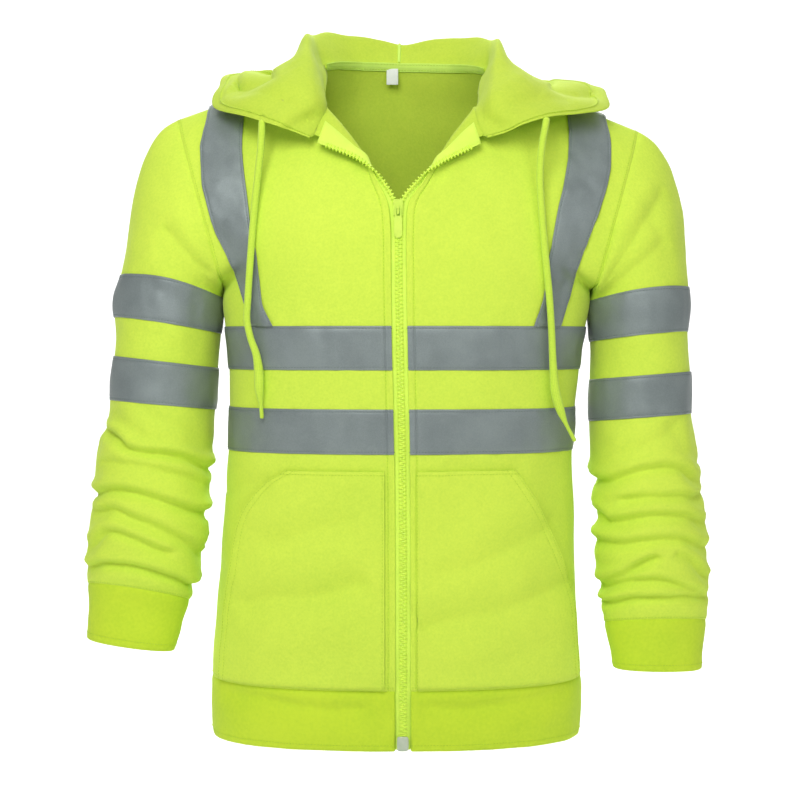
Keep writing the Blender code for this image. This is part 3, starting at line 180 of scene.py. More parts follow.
# seams and band edges round a sleeve: height at the outer side and under the arm, how much the front is
# higher for each mm of depth, how late the line drops under the arm, and the rows from here to the next
SLEEVE_LINES = {
    "left": (
        # outer  inner  rise  drop  rows
        (-198.5, -224, 0.03, 2.2, 2),       # upper band's top
        (-245.0, -263, 0.03, 1.2, 2),
        (-288.5, -302, 0.03, 1.0, 2),       # lower band's top
        (-337.5, -348, 0.04, 1.0, 14),
        (-541.0, -558, 0.22, 1.0, 3),       # cuff seam
        (-598.0, -612, 0.06, 1.0, 0),
    ),
    "right": (
        (-212.0, -228, 0.03, 2.0, 2),
        (-261.0, -272, 0.03, 1.2, 2),
        (-306.0, -315, 0.03, 1.0, 2),
        (-352.5, -361, 0.04, 1.0, 14),
        (-580.0, -582, 0.20, 1.0, 3),
        (-630.5, -630, 0.05, 1.0, 0),
    ),
}
CUFF_LINE = 4           # the row of SLEEVE_LINES that is the cuff seam
CAP_OUT = (0.62, 0.29, 0.68)        # the way the cloth leaves the armhole: out, forward at the front, down
CAP_TURN = (0.28, 0.0, 0.22)        # and how that changes from the shoulder to under the arm

# ---------------------------------------------------------------- the hood, turned down
# guide sections from the neck seam over the roll to the face edge; "seam" counts the neck seam's steps
HOOD = (
    # seam   roll              fall             middle            far
    (0, (86, -91, -57), (87, -92, -56), (90, -93, -55), (92, -94, -54)),
    (2, (88, -80, -34), (95, -86, -34), (104, -91, -37), (112, -93, -40)),
    (4, (90, -56, -3), (97, -69, -1), (113, -83, -12), (134, -86, -22)),
    (5, (95, -24, 24), (101, -34, 33), (123, -52, 18), (164, -56, -3)),
    (7, (101, 24, 60), (108, 31, 74), (122, 26, 44), (164, 14, 24)),
    (9, (89, 70, 83), (98, 94, 74), (124, 106, -16), (166, 96, 16)),
    (10, (68, 82, 82), (78, 108, 65), (112, 122, -92), (146, 134, -4)),
    (11, (42, 90, 81.5), (52, 117, 52), (86, 137, -140), (108, 166, -30)),
    (12, (21, 95, 79), (26, 121, 32), (45, 147, -164), (55, 180, -52)),
    (13, (0, 97, 76), (0, 122, 20), (0, 150, -170), (0, 184, -60)),
)
# the face edge of the turned-down hood, a point for steps of the neck seam
FACE_EDGE = {
    "left": (
        (0, (-97, -92, -53)), (2, (-120, -93, -44)), (4, (-153, -84, -33)), (5, (-206, -28, -12)),
        (6, (-205, 18, 15)), (7, (-202, 60, 34)), (8, (-170, 92, 42)), (9, (-136, 118, 48)), (13, (2, 156, 44)),
    ),
    "right": (
        (0, (94, -92, -53)), (2, (116, -93, -46)), (4, (162, -84, -30)), (5, (228, -28, -15)),
        (6, (234, 15, 5)), (7, (230, 56, 20)), (8, (196, 92, 30)), (9, (158, 118, 38)), (13, (2, 156, 44)),
    ),
}
HOOD_ROWS = (2, 3, 4, 4, 4)     # steps along a section between one column of the table and the next

# ---------------------------------------------------------------- what is sewn on
# the rows of the fronts and the back below the armpits; the bands' edges are rows of their own
LEVELS = (-643, -604, -562, -520, -482, -450, -420, -391.5, -367.7, -344, -323, -302, -278.7, -255.5, -219)
BANDS = {"upper": (11, 13), "lower": (7, 9)}        # the rows of LEVELS at a band's bottom and top
# a brace's inner and outer edge as seen from the front, x at each height
BRACES = {
    "left": (
        # z     inner   outer
        (-258, -134, -163),
        (-235, -146, -167),
        (-205, -151, -177),
        (-180, -154, -187),
        (-150, -160, -202),
        (-115, -165, -213),
        (-84, -170, -217.5),
        (-57, -173, -220),
        (-27, -173, -216),
        (0, -173, -214),
    ),
    "right": (
        (-258, 142, 172),
        (-220, 154, 184),
        (-190, 158, 193),
        (-160, 164, 204),
        (-130, 170, 216),
        (-94, 179, 228),
        (-60, 185, 233),
        (-27, 186, 231),
        (0, 186, 229),
    ),
}
BRACE_BACK = ((-258, 150, 196), (-120, 158, 204), (0, 178, 226))       # the same on the back, both sides

# a front pocket: the inner edge runs straight, the mouth is the slanted outer edge
POCKET = {
    "left": {"inner": -17.0, "top": -412.0, "mouth": (
        (-412, -122), (-416, -131), (-431, -149), (-450, -163), (-466, -171), (-484, -175.5), (-503, -178),
        (-521, -181), (-545, -185.5), (-600, -192), (-641, -196))},
    "right": {"inner": 18.0, "top": -409.0, "mouth": (
        (-409, 122), (-438, 141), (-470, 157), (-500, 170), (-545, 183), (-641, 194))},
}
LABEL_X = (-15.5, -2.3)     # the blank label's edges


CORD_THICK = 7.6
# points (x, y, z) from the exit in the hood's casing down to the tip, with the thickness there
CORD_ROUTE = {
    "left": (
        (-148.5, -87, -35.7, 1), (-149.5, -88, -60, 1), (-153, -89.5, -95, 1), (-157, -91, -135, 1),
        (-160.5, -91, -180, 1), (-163.5, -90, -226, 1), (-164.4, -89.5, -249, 1), (-160.5, -90.5, -268, 1),
        (-154.5, -92, -285, 1.1), (-151.5, -92.5, -305, 1.35), (-151, -92.5, -325, 1.2), (-149.5, -91.5, -338, 0.62),
        (-148.3, -91, -353, 0.58)),
    "right": (
        (157.5, -88, -33.3, 1), (152.5, -90, -62, 1), (150.3, -93, -90, 1), (152, -98, -135, 1),
        (155.5, -100.5, -180, 1), (160, -98.5, -226, 1), (162.5, -95, -262, 1), (164.5, -92, -300, 1.1),
        (167.5, -89.5, -328, 1.35), (173, -87.5, -347, 1.2), (178.5, -86, -360, 0.62), (188, -84, -378, 0.58)),
}

# ---------------------------------------------------------------- the coarse grid, as in the solids
LOWER_ROWS = len(LEVELS) - 1
YOKE_ROWS = 8
STRIP_COLUMNS = 5        # from the teeth to the roll line
SHOULDER_COLUMNS = 6     # along a shoulder seam
NECK_COLUMNS = 3         # from the roll line to the neck point
SIDE_COLUMNS = NECK_COLUMNS + SHOULDER_COLUMNS
RING_POINTS = 60         # of a row of the body before it is spaced evenly
BACK_NECK_COLUMNS = 6    # from the centre back to the neck point
CAP_ROWS = 7             # of a sleeve, from the armhole to the upper band
BAND_CELLS = 6           # of a sleeve, over its two bands and between them
FOREARM_CELLS = 14       # from there to the cuff seam
HEM_COLUMNS = 38
HEM_ROWS = 3
HEM_POINTS = 200         # of a row of the hem before it is spaced evenly


# ---------------------------------------------------------------- folds
# troughs in the cloth of each piece, by the side they are seen from: depth, half width, points (x, z);
# the cloth stands up in a soft roll beside each, higher above than below
FOLDS = {
    "sleeve_left": {
        "front": (
            (8.5, 3.8, ((-334, -366), (-320, -372.3), (-313, -375.2), (-298.5, -386.9), (-277, -391.7),
                (-255.6, -393.6), (-232.4, -399.5), (-216.7, -409.2), (-204, -420.9), (-190, -434))),
            (4.6, 5.0, ((-336, -404), (-316, -403), (-284.8, -405.4), (-252, -413), (-224.8, -422.9), (-208, -436),
                (-196, -450))),
            (7.6, 4.0, ((-348, -446), (-334.5, -438.5), (-325.8, -434.6), (-310, -432.7), (-290.7, -434.2),
                (-271.2, -439.2), (-251.7, -446.2), (-232.4, -454.1), (-209.8, -463.8), (-196, -472))),
            (6.4, 4.4, ((-346, -458), (-329.5, -456.7), (-314.2, -453.4), (-291.3, -462.2), (-267.3, -470.9),
                (-245.5, -481.8), (-229.1, -493.8), (-218.2, -510.2), (-208, -522))),
            (6.4, 3.8, ((-346, -500), (-332.8, -489.1), (-326.8, -482.3), (-318, -477.4), (-306.2, -478.5),
                (-290.7, -483.3), (-275, -490.1), (-255.6, -498.8), (-240, -502.5))),
            (8.0, 3.6, ((-350, -522), (-337.5, -517.4), (-327.7, -513.4), (-310, -512.9), (-290.6, -514.4),
                (-271.2, -519.3), (-255.6, -525.2), (-240, -532), (-224.4, -545.6), (-212, -554))),
            (2.2, 7.0, ((-320, -346), (-300, -360), (-278, -374), (-254, -384))),
            (2.0, 7.0, ((-292, -338), (-262, -356), (-232, -370), (-206, -398))),
            (4.2, 9, ((-262, -146), (-251, -154.5), (-230, -178.5), (-200, -206))),
            (3.4, 8, ((-232, -104), (-217, -135), (-207.3, -162), (-196, -202))),
            (1.6, 10, ((-296, -196), (-262, -214), (-214, -234))),
            (1.2, 9, ((-318, -255), (-280, -262), (-236, -282)))),
        "back": (
            (7.5, 5.5, ((-336, -384), (-300, -392), (-256, -402), (-208, -420))),
            (4.5, 6, ((-330, -410), (-286, -420), (-240, -428))),
            (7.8, 5.5, ((-346, -440), (-300, -446), (-254, -452), (-210, -470))),
            (6.9, 5, ((-338, -468), (-296, -476), (-250, -480), (-214, -500))),
            (5.1, 5, ((-346, -500), (-310, -496), (-262, -506))),
            (7.5, 5, ((-350, -526), (-300, -524), (-256, -530), (-222, -546))),
            (2.4, 12, ((-262, -150), (-232, -184), (-204, -214))),
            (1.8, 10, ((-300, -232), (-262, -250), (-214, -262)))),
    },
    "sleeve_right": {
        "front": (
            (7.4, 4.4, ((198, -430), (212.6, -427.6), (227.3, -424.4), (241.9, -418.2), (258.6, -412), (275.3, -408.7),
                (294, -407.6), (310.7, -412), (319, -418.2), (336, -432))),
            (5.0, 3.8, ((232, -446), (250.2, -442.2), (268.9, -440), (289.9, -440), (310.7, -440), (324, -442),
                (340, -438))),
            (6.6, 4.4, ((198, -452), (216.8, -460), (225, -468.3), (237.6, -467.2), (254.2, -463), (273.2, -459.9),
                (289.9, -459.9), (310.7, -461.9), (325, -467), (344, -474))),
            (6.2, 4.4, ((200, -490), (217.9, -491.2), (244, -491.2), (264.8, -487), (285.6, -485), (306.6, -486),
                (319, -490.2), (332, -496), (350, -504))),
            (7.4, 3.8, ((204, -546), (219.9, -538.2), (231.3, -529.8), (244, -523.6), (256.4, -514.2), (268.9, -506.9),
                (285.6, -502.6))),
            (5.6, 3.6, ((296, -499), (306, -503), (319, -511), (329.5, -522.5), (340, -534))),
            (6.6, 3.6, ((216, -548), (225, -541.3), (237.6, -535), (254.2, -530.9), (273.2, -528.7), (294, -531.9),
                (310.7, -539.2), (325, -544), (348, -548))),
            (6.6, 3.4, ((208, -563), (223, -559), (235.5, -554.9), (248, -550.5), (268.9, -548.6), (289.9, -547.6),
                (310.7, -548.6), (328, -551.6), (348, -553))),
            (2.2, 7.0, ((236, -398), (262, -384), (290, -372), (312, -350))),
            (2.0, 7.0, ((290, -356), (304, -374), (312, -396))),
            (4.2, 9, ((292, -104), (283.7, -117.4), (254, -160), (218.2, -215.6))),
            (3.6, 9, ((292, -158), (278.2, -172), (250, -196), (218.2, -226.5))),
            (1.2, 9, ((320, -262), (282, -276), (238, -286)))),
        "back": (
            (7.5, 5.5, ((210, -426), (250, -412), (296, -402), (336, -408))),
            (4.5, 6, ((240, -438), (286, -428), (332, -430))),
            (7.8, 5.5, ((212, -470), (254, -460), (300, -454), (342, -458))),
            (6.9, 5, ((216, -500), (252, -486), (298, -482), (340, -486))),
            (5.1, 5, ((264, -516), (310, -508), (346, -512))),
            (7.5, 5, ((222, -552), (256, -538), (300, -532), (348, -540))),
            (6.0, 5, ((220, -574), (258, -562), (304, -560), (346, -564))),
            (2.4, 12, ((286, -136), (250, -178), (216, -218))),
            (1.8, 10, ((306, -240), (268, -258), (222, -268)))),
    },
    "front_left": {
        "front": (
            (2.4, 12, ((-204, -140), (-184, -176), (-168, -214), (-158, -270))),
            (6.2, 15, ((-180, -560), (-149.5, -546.8), (-95.4, -541.5), (-53, -532), (-30, -524))),
            (3.2, 13, ((-150, -492), (-127.2, -483.2), (-85, -470), (-45.6, -458.8))),
            (2.2, 11, ((-196, -445), (-170, -428), (-140, -418))),
            (2.0, 14, ((-150, -622), (-100, -604), (-40, -596)))),
    },
    "front_right": {
        "front": (
            (2.4, 12, ((214, -150), (192, -184), (172, -220), (158, -270))),
            (5.4, 15, ((20, -578), (31.8, -572.3), (106, -556.4), (169.6, -535.2), (190, -528))),
            (3.2, 14, ((30, -520), (80, -508), (140, -482), (176, -460))),
            (1.8, 12, ((46, -400), (90, -408), (140, -402))),
            (2.0, 14, ((40, -622), (110, -612), (170, -590)))),
    },
    "back_panel": {
        "back": (
            (3.2, 11, ((-168, -414), (-110, -446), (-50, -460), (10, -456))),
            (3.0, 11, ((170, -400), (120, -420), (60, -430), (0, -424))),
            (2.8, 12, ((-150, -548), (-90, -580), (-10, -594), (70, -590))),
            (2.4, 12, ((166, -520), (110, -546), (50, -552))),
            (2.4, 12, ((-196, -190), (-160, -232), (-132, -270))),
            (2.4, 12, ((200, -196), (168, -238), (140, -272))),
            (1.6, 14, ((-120, -120), (-60, -150), (10, -156), (90, -140)))),
    },
    "hem_band": {
        "front": (
            (5.4, 9, ((-196, -645), (-150, -652), (-108, -660), (-21, -661))),
            (4.2, 8, ((21, -658), (70, -661), (120, -657), (186, -647)))),
        "back": (
            (1.3, 4, ((-190, -650), (-100, -662), (-10, -658), (90, -664), (186, -652))),),
    },
    "hood": {
        "inner": (
            (12.0, 8.0, ((-188, 19), (-176, 15), (-163, 18), (-138, 32))),
            (8.0, 7.0, ((168, 20), (180, 12), (200, 8), (226, 14))),
            (2.6, 9.0, ((-92, -36), (-118, -14), (-150, -2), (-190, 2))),
            (2.6, 9.0, ((92, -38), (120, -18), (154, -8), (196, -6)))),
        "front": (
            (1.6, 9, ((-196, -22), (-150, -8), (-112, 14), (-92, 40))),
            (1.6, 9, ((226, -10), (170, 0), (122, 14), (96, 40)))),
        "back": (
            (2.4, 13, ((-120, 40), (-80, -10), (-30, -60), (20, -84))),
            (2.4, 13, ((140, 30), (96, -20), (44, -70), (0, -96))),
            (2.0, 12, ((-96, -60), (-46, -108), (10, -130), (70, -112)))),
    },
}
FOLD_ROLL_UP = 0.42         # the roll above a trough, as a share of its depth
FOLD_ROLL_DOWN = 0.22
FOLD_STEPS = 7              # along a trough, from one point to the next
FOLD_REACH = 5              # how far a trough reaches, in its half widths
FOLD_ENDS = (8, 0.1)        # how fast it deepens from its ends, and how deep it starts
FOLD_FACING = (1.5, 0.85)   # how it dies out on cloth that faces away: slope and start
FOLD_SOFT = (0.6, 0.77)     # the rounding of its bottom
FOLD_BANKS = (0.7, 1.5)     # how wide its upper and lower banks are, in its half widths
FOLD_SHAPE = 1.25
TUCK = 1.1                  # how far a sewn edge is drawn in
TUCK_WIDE = 2.6
SEAM_CALM = 9.0             # how far from a seam the folds die out
# soft unevenness of each kind of cloth: height and length of its waves
UNEVEN = {"body": ((0.75, 95), (0.30, 38)), "arm": ((0.5, 60), (0.25, 24)), "rib": ((0.45, 48), (0.15, 16)),
          "hood": ((0.8, 80), (0.3, 34))}


# ================================================================ curves and surfaces
def measured(points, axis=0):
    """How far along a line each point is, or along the mean line of a grid."""
    gaps = np.linalg.norm(np.diff(points, axis=axis), axis=-1)
    if gaps.ndim == 2:
        gaps = gaps.mean(axis=1 - axis)
    return np.concatenate([[0.0], np.cumsum(np.maximum(gaps, 1e-6))])


def read(values, keys, wanted):
    """Points on straight lines between those at rising keys."""
    return np.column_stack([np.interp(wanted, keys, values[:, axis]) for axis in range(3)])


def bell(values, middle, wide):
    """1 at the middle, falling softly on both sides."""
    return np.exp(-(((values - middle) / wide) ** 2))


def nearest(values, wanted):
    return int(np.argmin(np.abs(values - wanted)))


def table_at(rows, key, column=1):
    """A column of a table at a key between its rows, on a smooth curve."""
    return hermite([row[0] for row in rows], [row[column] for row in rows], key)


def cubic(t, start, end, leave, arrive):
    """A smooth curve from start to end that leaves and arrives in given directions."""
    return (start * (2 * t**3 - 3 * t**2 + 1) + leave * (t**3 - 2 * t**2 + t)
            + end * (3 * t**2 - 2 * t**3) + arrive * (t**3 - t**2))


def hermite(keys, values, key):
    """A smooth curve through values at rising keys, read at one key or an array of them."""
    keys, values = np.asarray(keys, dtype=float), np.asarray(values, dtype=float)
    wanted = np.clip(np.atleast_1d(np.asarray(key, dtype=float)), keys[0], keys[-1])
    spans = np.diff(keys)
    shape = (-1,) + (1,) * (values.ndim - 1)
    slopes = np.diff(values, axis=0) / spans.reshape(shape)
    before, after = spans[:-1].reshape(shape), spans[1:].reshape(shape)
    inner = (slopes[:-1] * after + slopes[1:] * before) / (before + after)
    tangents = np.concatenate([slopes[:1], inner, slopes[-1:]])
    at = np.clip(np.searchsorted(keys, wanted, side="right") - 1, 0, len(spans) - 1)
    step = spans[at].reshape(shape)
    t = ((wanted - keys[at]) / spans[at]).reshape(shape)
    result = cubic(t, values[at], values[at + 1], tangents[at] * step, tangents[at + 1] * step)
    return result[0] if np.ndim(key) == 0 else result


def chord_path(points, counts):
    """A smooth path through points, with counts[i] steps between point i and the next."""
    keys = measured(np.asarray(points, dtype=float))
    return hermite(keys, points, [keys[0]] + [keys[i] + (keys[i + 1] - keys[i]) * (k + 1) / count
                                              for i, count in enumerate(counts) for k in range(count)])


def shouldered(side, point):
    """A mirrored point of the yoke, moved to the shoulders' middle and slope."""
    out, depth, up = point
    shift = NECK_SHIFT + (SHOULDER_SHIFT - NECK_SHIFT) * min(out / SHOULDER_OUT, 1.0)
    return np.array([shift + SIDES[side] * out, depth, up - SHOULDER_ROLL * SIDES[side] * out])


def torso(z, angle):
    """A point of the body: angle 0 at the centre front, 90 degrees at the right side, 180 at the back."""
    front = abs(angle) <= math.pi / 2
    power = FRONT_POWER if front else BACK_POWER
    middle, half, depth = (table_at(TORSO, z, column) for column in (1, 2, 3 if front else 4))
    across, along = (abs(wave(angle)) ** (2 / power) for wave in (math.sin, math.cos))
    return np.array([middle + math.copysign(half * across, angle), -depth * along if front else depth * along, z])


def front_angle(z, x):
    """The angle at which the body's front has a given x."""
    reach = (x - table_at(TORSO, z, 1)) / table_at(TORSO, z, 2)
    return math.copysign(math.asin(min(abs(reach), 1.0) ** (FRONT_POWER / 2)), reach)


def even(points, fractions):
    """Points at fractions of the length of a dense path."""
    points = np.asarray(points)
    lengths = measured(points)
    return read(points, lengths, np.asarray(fractions) * lengths[-1])


def front_row(side, z):
    """One row of a front below the armpits: teeth, roll line and the body columns to the side seam."""
    sign, zip_x = SIDES[side], table_at(ZIP_LINE, z)
    teeth = torso(z, front_angle(z, zip_x + sign * SEAM * 2))
    angles = np.linspace(front_angle(z, zip_x + sign * ROLL_EDGE), sign * math.pi / 2, RING_POINTS)
    return teeth, even([torso(z, angle) for angle in angles], np.linspace(0, 1, SIDE_COLUMNS + 1))


def strip(roll, teeth, lift, inward):
    """The columns from the roll line to the teeth, flat when closed and turned over when open."""
    handle = np.linalg.norm(teeth - roll) / 3
    bend = lift / 7.0
    control_a = roll + inward * handle * (1 + 0.6 * bend) * (1 - 0.5 * bend) + FORWARD * lift
    control_b = teeth + (roll - teeth) / 3 + FORWARD * lift * 0.5
    edge = 1.0 - min(TAPE_EDGE / np.linalg.norm(teeth - roll), 0.6)
    fractions = np.append(np.linspace(0, edge, STRIP_COLUMNS), 1.0)[:, None]
    return (
        roll * (1 - fractions) ** 3
        + control_a * 3 * fractions * (1 - fractions) ** 2
        + control_b * 3 * fractions**2 * (1 - fractions)
        + teeth * fractions**3
    )


FORWARD = np.array([0.0, -1.0, 0.0])


def across_places(neck, columns):
    """How far across a yoke each body column is at its top: the neck point falls on a column."""
    return np.concatenate([np.linspace(0, neck, columns + 1), np.linspace(neck, 1, SHOULDER_COLUMNS + 1)[1:]])


def yoke_lines(side, table, ring, places):
    """Where a yoke's guide lines are at each row above the armpits; they leave the armpit row in the body's own way."""
    lines = []
    for across, *points in table:
        share = np.interp(across, places, np.linspace(0, 1, len(places)))
        lead, start = (even(ring(z), [share])[0] for z in (Z_ARMPIT - 40, Z_ARMPIT))
        lines.append([lead, start, *(shouldered(side, point) for point in points)])
    return [[hermite((YOKE_LEAD, *YOKE_STEPS), line, step / YOKE_ROWS) for line in lines]
            for step in range(1, YOKE_ROWS + 1)]


def front_surface(side):
    """A front as a grid, rows from the hem seam to the neck and shoulder, columns from teeth to side."""
    sign, places = SIDES[side], across_places(YOKE_FRONT[0][0], NECK_COLUMNS)
    rows = []
    for z in LEVELS:
        teeth, body = front_row(side, z)
        rows.append(np.vstack([strip(body[0], teeth, 0.0, np.array([-sign, 0, 0]))[::-1], body[1:]]))
    keys = [0.0] + [row[0] for row in YOKE_FRONT]
    for step, line in enumerate(yoke_lines(side, YOKE_FRONT, lambda z: front_row(side, z)[1], places), start=1):
        roll, teeth, lift = (table_at(LAPEL[side], step / YOKE_ROWS, column) for column in (1, 2, 3))
        turned = min(lift / 3.0, 1.0)
        inward = unit(np.array([-sign, -0.07 - 0.6 * turned, 0.3 * turned]))
        body = hermite(keys, [roll, *line], places)
        rows.append(np.vstack([strip(roll, teeth, lift, inward)[::-1], body[1:]]))
    return np.array(rows)


def back_surface():
    """The back as a grid, rows from the hem seam to the neck and shoulders, columns from left to right."""
    halves, places = {}, across_places(YOKE_BACK[2][0], BACK_NECK_COLUMNS)
    for side, sign in SIDES.items():
        def ring(z):
            angles = np.linspace(sign * math.pi, sign * math.pi / 2, RING_POINTS)
            angles[0] *= 0.99999
            return even([torso(z, angle) for angle in angles], np.linspace(0, 1, len(places)))

        keys = [row[0] for row in YOKE_BACK]
        halves[side] = np.array([ring(z) for z in LEVELS] + [
            hermite(keys, line, places) for line in yoke_lines(side, YOKE_BACK, ring, places)])
    return np.concatenate([halves["left"][:, :0:-1], halves["right"]], axis=1)


def sleeve_ring(side, line, count):
    """One ring of a sleeve, from the side that faces the body round the front to the outside and back."""
    sign = SIDES[side]
    outer, inner, rise, drop = line[:4]
    angles = np.arange(count) * 2 * math.pi / count
    share = 0.5 + 0.5 * np.cos(angles)
    heights = outer + (inner - outer) * share**drop
    x, y, half, deep = (table_at(SLEEVE[side], heights, column) for column in range(1, 5))
    depth = -deep * np.sin(angles)
    return np.column_stack([x - sign * half * np.cos(angles), y + depth, heights - rise * depth])


def sleeve_lines(side, first, last):
    """The lines of a sleeve's rows from one row of its table to another."""
    table = np.array(SLEEVE_LINES[side], dtype=float)
    lines = []
    for k in range(first, last):
        steps = int(table[k][4])
        lines.extend(table[k] + (table[k + 1] - table[k]) * i / steps for i in range(steps))
    return lines + [table[last]]


def sleeve_surface(side, armhole):
    """A sleeve as a closed grid that starts on the armhole loop; rows go down to the cuff seam."""
    sign, count = SIDES[side], len(armhole)
    angles = np.arange(count) * 2 * math.pi / count
    rings = [sleeve_ring(side, line, count) for line in sleeve_lines(side, 0, CUFF_LINE)]
    out = unit(np.column_stack([sign * (CAP_OUT[0] - CAP_TURN[0] * np.cos(angles)), -CAP_OUT[1] * np.sin(angles),
                                -CAP_OUT[2] - CAP_TURN[2] * np.cos(angles)]))
    down = unit(rings[1] - rings[0])
    reach = np.linalg.norm(rings[0] - armhole, axis=1)[:, None]
    cap = [cubic(step / CAP_ROWS, armhole, rings[0], out * reach, down * reach) for step in range(CAP_ROWS)]
    return np.array(cap + rings)


def hood_surface(neck):
    """The hood as a grid: columns follow the neck seam from left to right, rows run out to the face edge."""
    half = HOOD[-1][0]
    sections = {}
    for side, sign in SIDES.items():
        columns = []
        for seam, start in enumerate(neck[:half + 1] if side == "left" else neck[:half - 1:-1]):
            end = table_at(FACE_EDGE[side], seam)
            path = [start]
            tip = max(0.0, 1.0 - (seam / 3.0) ** 2)
            for column in range(1, 5):
                out, depth, up = table_at(HOOD, seam, column)
                guide = np.array([NECK_SHIFT + sign * out, depth, up - SHOULDER_ROLL * sign * out])
                path.append(guide * (1 - tip) + (start + (end - start) * column / 5) * tip)
            columns.append(chord_path(path + [end], HOOD_ROWS))
        sections[side] = np.array(columns)
    middle = (sections["left"][-1] + sections["right"][-1]) / 2
    joined = np.concatenate([sections["left"][:-1], [middle], sections["right"][-2::-1]], axis=0)
    return joined.transpose(1, 0, 2)


# ================================================================ fine cloth
def unit(vectors):
    return vectors / np.maximum(np.linalg.norm(vectors, axis=-1, keepdims=True), 1e-9)


def stations(counts, extra=()):
    """Fractional places along a coarse grid, with counts[i] steps between line i and the next."""
    places = [0.0]
    for i, count in enumerate(counts):
        places.extend(i + (k + 1) / count for k in range(count))
    return np.unique(np.round(np.concatenate([places, extra]), 5))


def looped(line):
    """A closed line or grid with its first point or column again at the end."""
    axis = line.ndim - 2
    return np.concatenate([line, line.take([0], axis)], axis=axis)


def refined(points, rows, columns, closed):
    """A grid on smooth curves through the coarse points, read at fractional rows and columns."""
    def along(grid, places, wrap):
        if wrap:
            grid = np.concatenate([grid[-3:], grid, grid[:4]])
        keys = measured(grid)
        return hermite(keys, grid, np.interp(places + (3 if wrap else 0), np.arange(len(keys)), keys))

    return along(along(points, rows, False).transpose(1, 0, 2), columns, closed).transpose(1, 0, 2)


def grid_normals(points, closed, turn=1.0):
    """Unit normals of a grid of points, from its neighbours along rows and columns; turn -1 for the other side."""
    if closed:
        across = np.roll(points, -1, axis=1) - np.roll(points, 1, axis=1)
    else:
        across = np.gradient(points, axis=1)
    return unit(np.cross(across, np.gradient(points, axis=0)) * turn)


def ripple(points, size, seed, waves=16):
    """Soft random waves of about a given length, mostly between -1 and 1."""
    rng = np.random.default_rng(seed)
    ways = unit(rng.normal(size=(waves, 3)))
    turns = 2 * math.pi / (size * rng.uniform(0.7, 1.6, waves))
    shifts = rng.uniform(0, 2 * math.pi, waves)
    total = np.zeros(points.shape[:-1])
    for way, turn, shift in zip(ways, turns, shifts):
        total += np.sin(points @ way * turn + shift)
    return total / math.sqrt(waves)


def fold_heights(points, normals, folds):
    """How far each point moves out or in beside the folds on its side of the cloth."""
    moved = np.zeros(points.shape[:-1])
    flat = points[..., [0, 2]]
    for face, deep, wide, line in ((face, *fold) for face, group in folds.items() for fold in group):
        path = chord_path([(x, 0, z) for x, z in line], [FOLD_STEPS] * (len(line) - 1))[:, [0, 2]]
        reach = wide * FOLD_REACH
        near = ((flat > path.min(axis=0) - reach) & (flat < path.max(axis=0) + reach)).all(axis=-1)
        if not near.any():
            continue
        facing = (-normals[..., 1] if face == "front" else normals[..., 1])[near]
        offsets = flat[near][:, None, :] - path
        gaps = np.linalg.norm(offsets, axis=-1)
        nearest_at, gap = gaps.argmin(axis=1), gaps.min(axis=1)
        tangents = unit(np.gradient(path, axis=0))
        tangents = tangents * np.where(tangents[:, :1] < 0, -1, 1)
        picked = np.take_along_axis(offsets, nearest_at[:, None, None], axis=1)[:, 0]
        above = tangents[nearest_at, 0] * picked[:, 1] - tangents[nearest_at, 1] * picked[:, 0]
        share = nearest_at / (len(path) - 1)
        taper = np.clip(np.minimum(share, 1 - share) * FOLD_ENDS[0] + FOLD_ENDS[1], 0, 1)
        weight = np.clip(facing * FOLD_FACING[0] + FOLD_FACING[1], 0, 1) * (taper * taper * (3 - 2 * taper))
        soft = np.sqrt(gap**2 + FOLD_SOFT[0]) - FOLD_SOFT[1]
        trough = np.exp(-((soft / (wide * np.where(above > 0, *FOLD_BANKS))) ** FOLD_SHAPE))
        rolls = (FOLD_ROLL_UP * bell(above, wide * 2.0, wide * 1.3)
                 + FOLD_ROLL_DOWN * bell(above, -wide * 3.2, wide * 1.6)) * (gap < reach)
        moved[near] += (-1 if face == "inner" else 1) * deep * weight * (rolls - trough)
    return moved


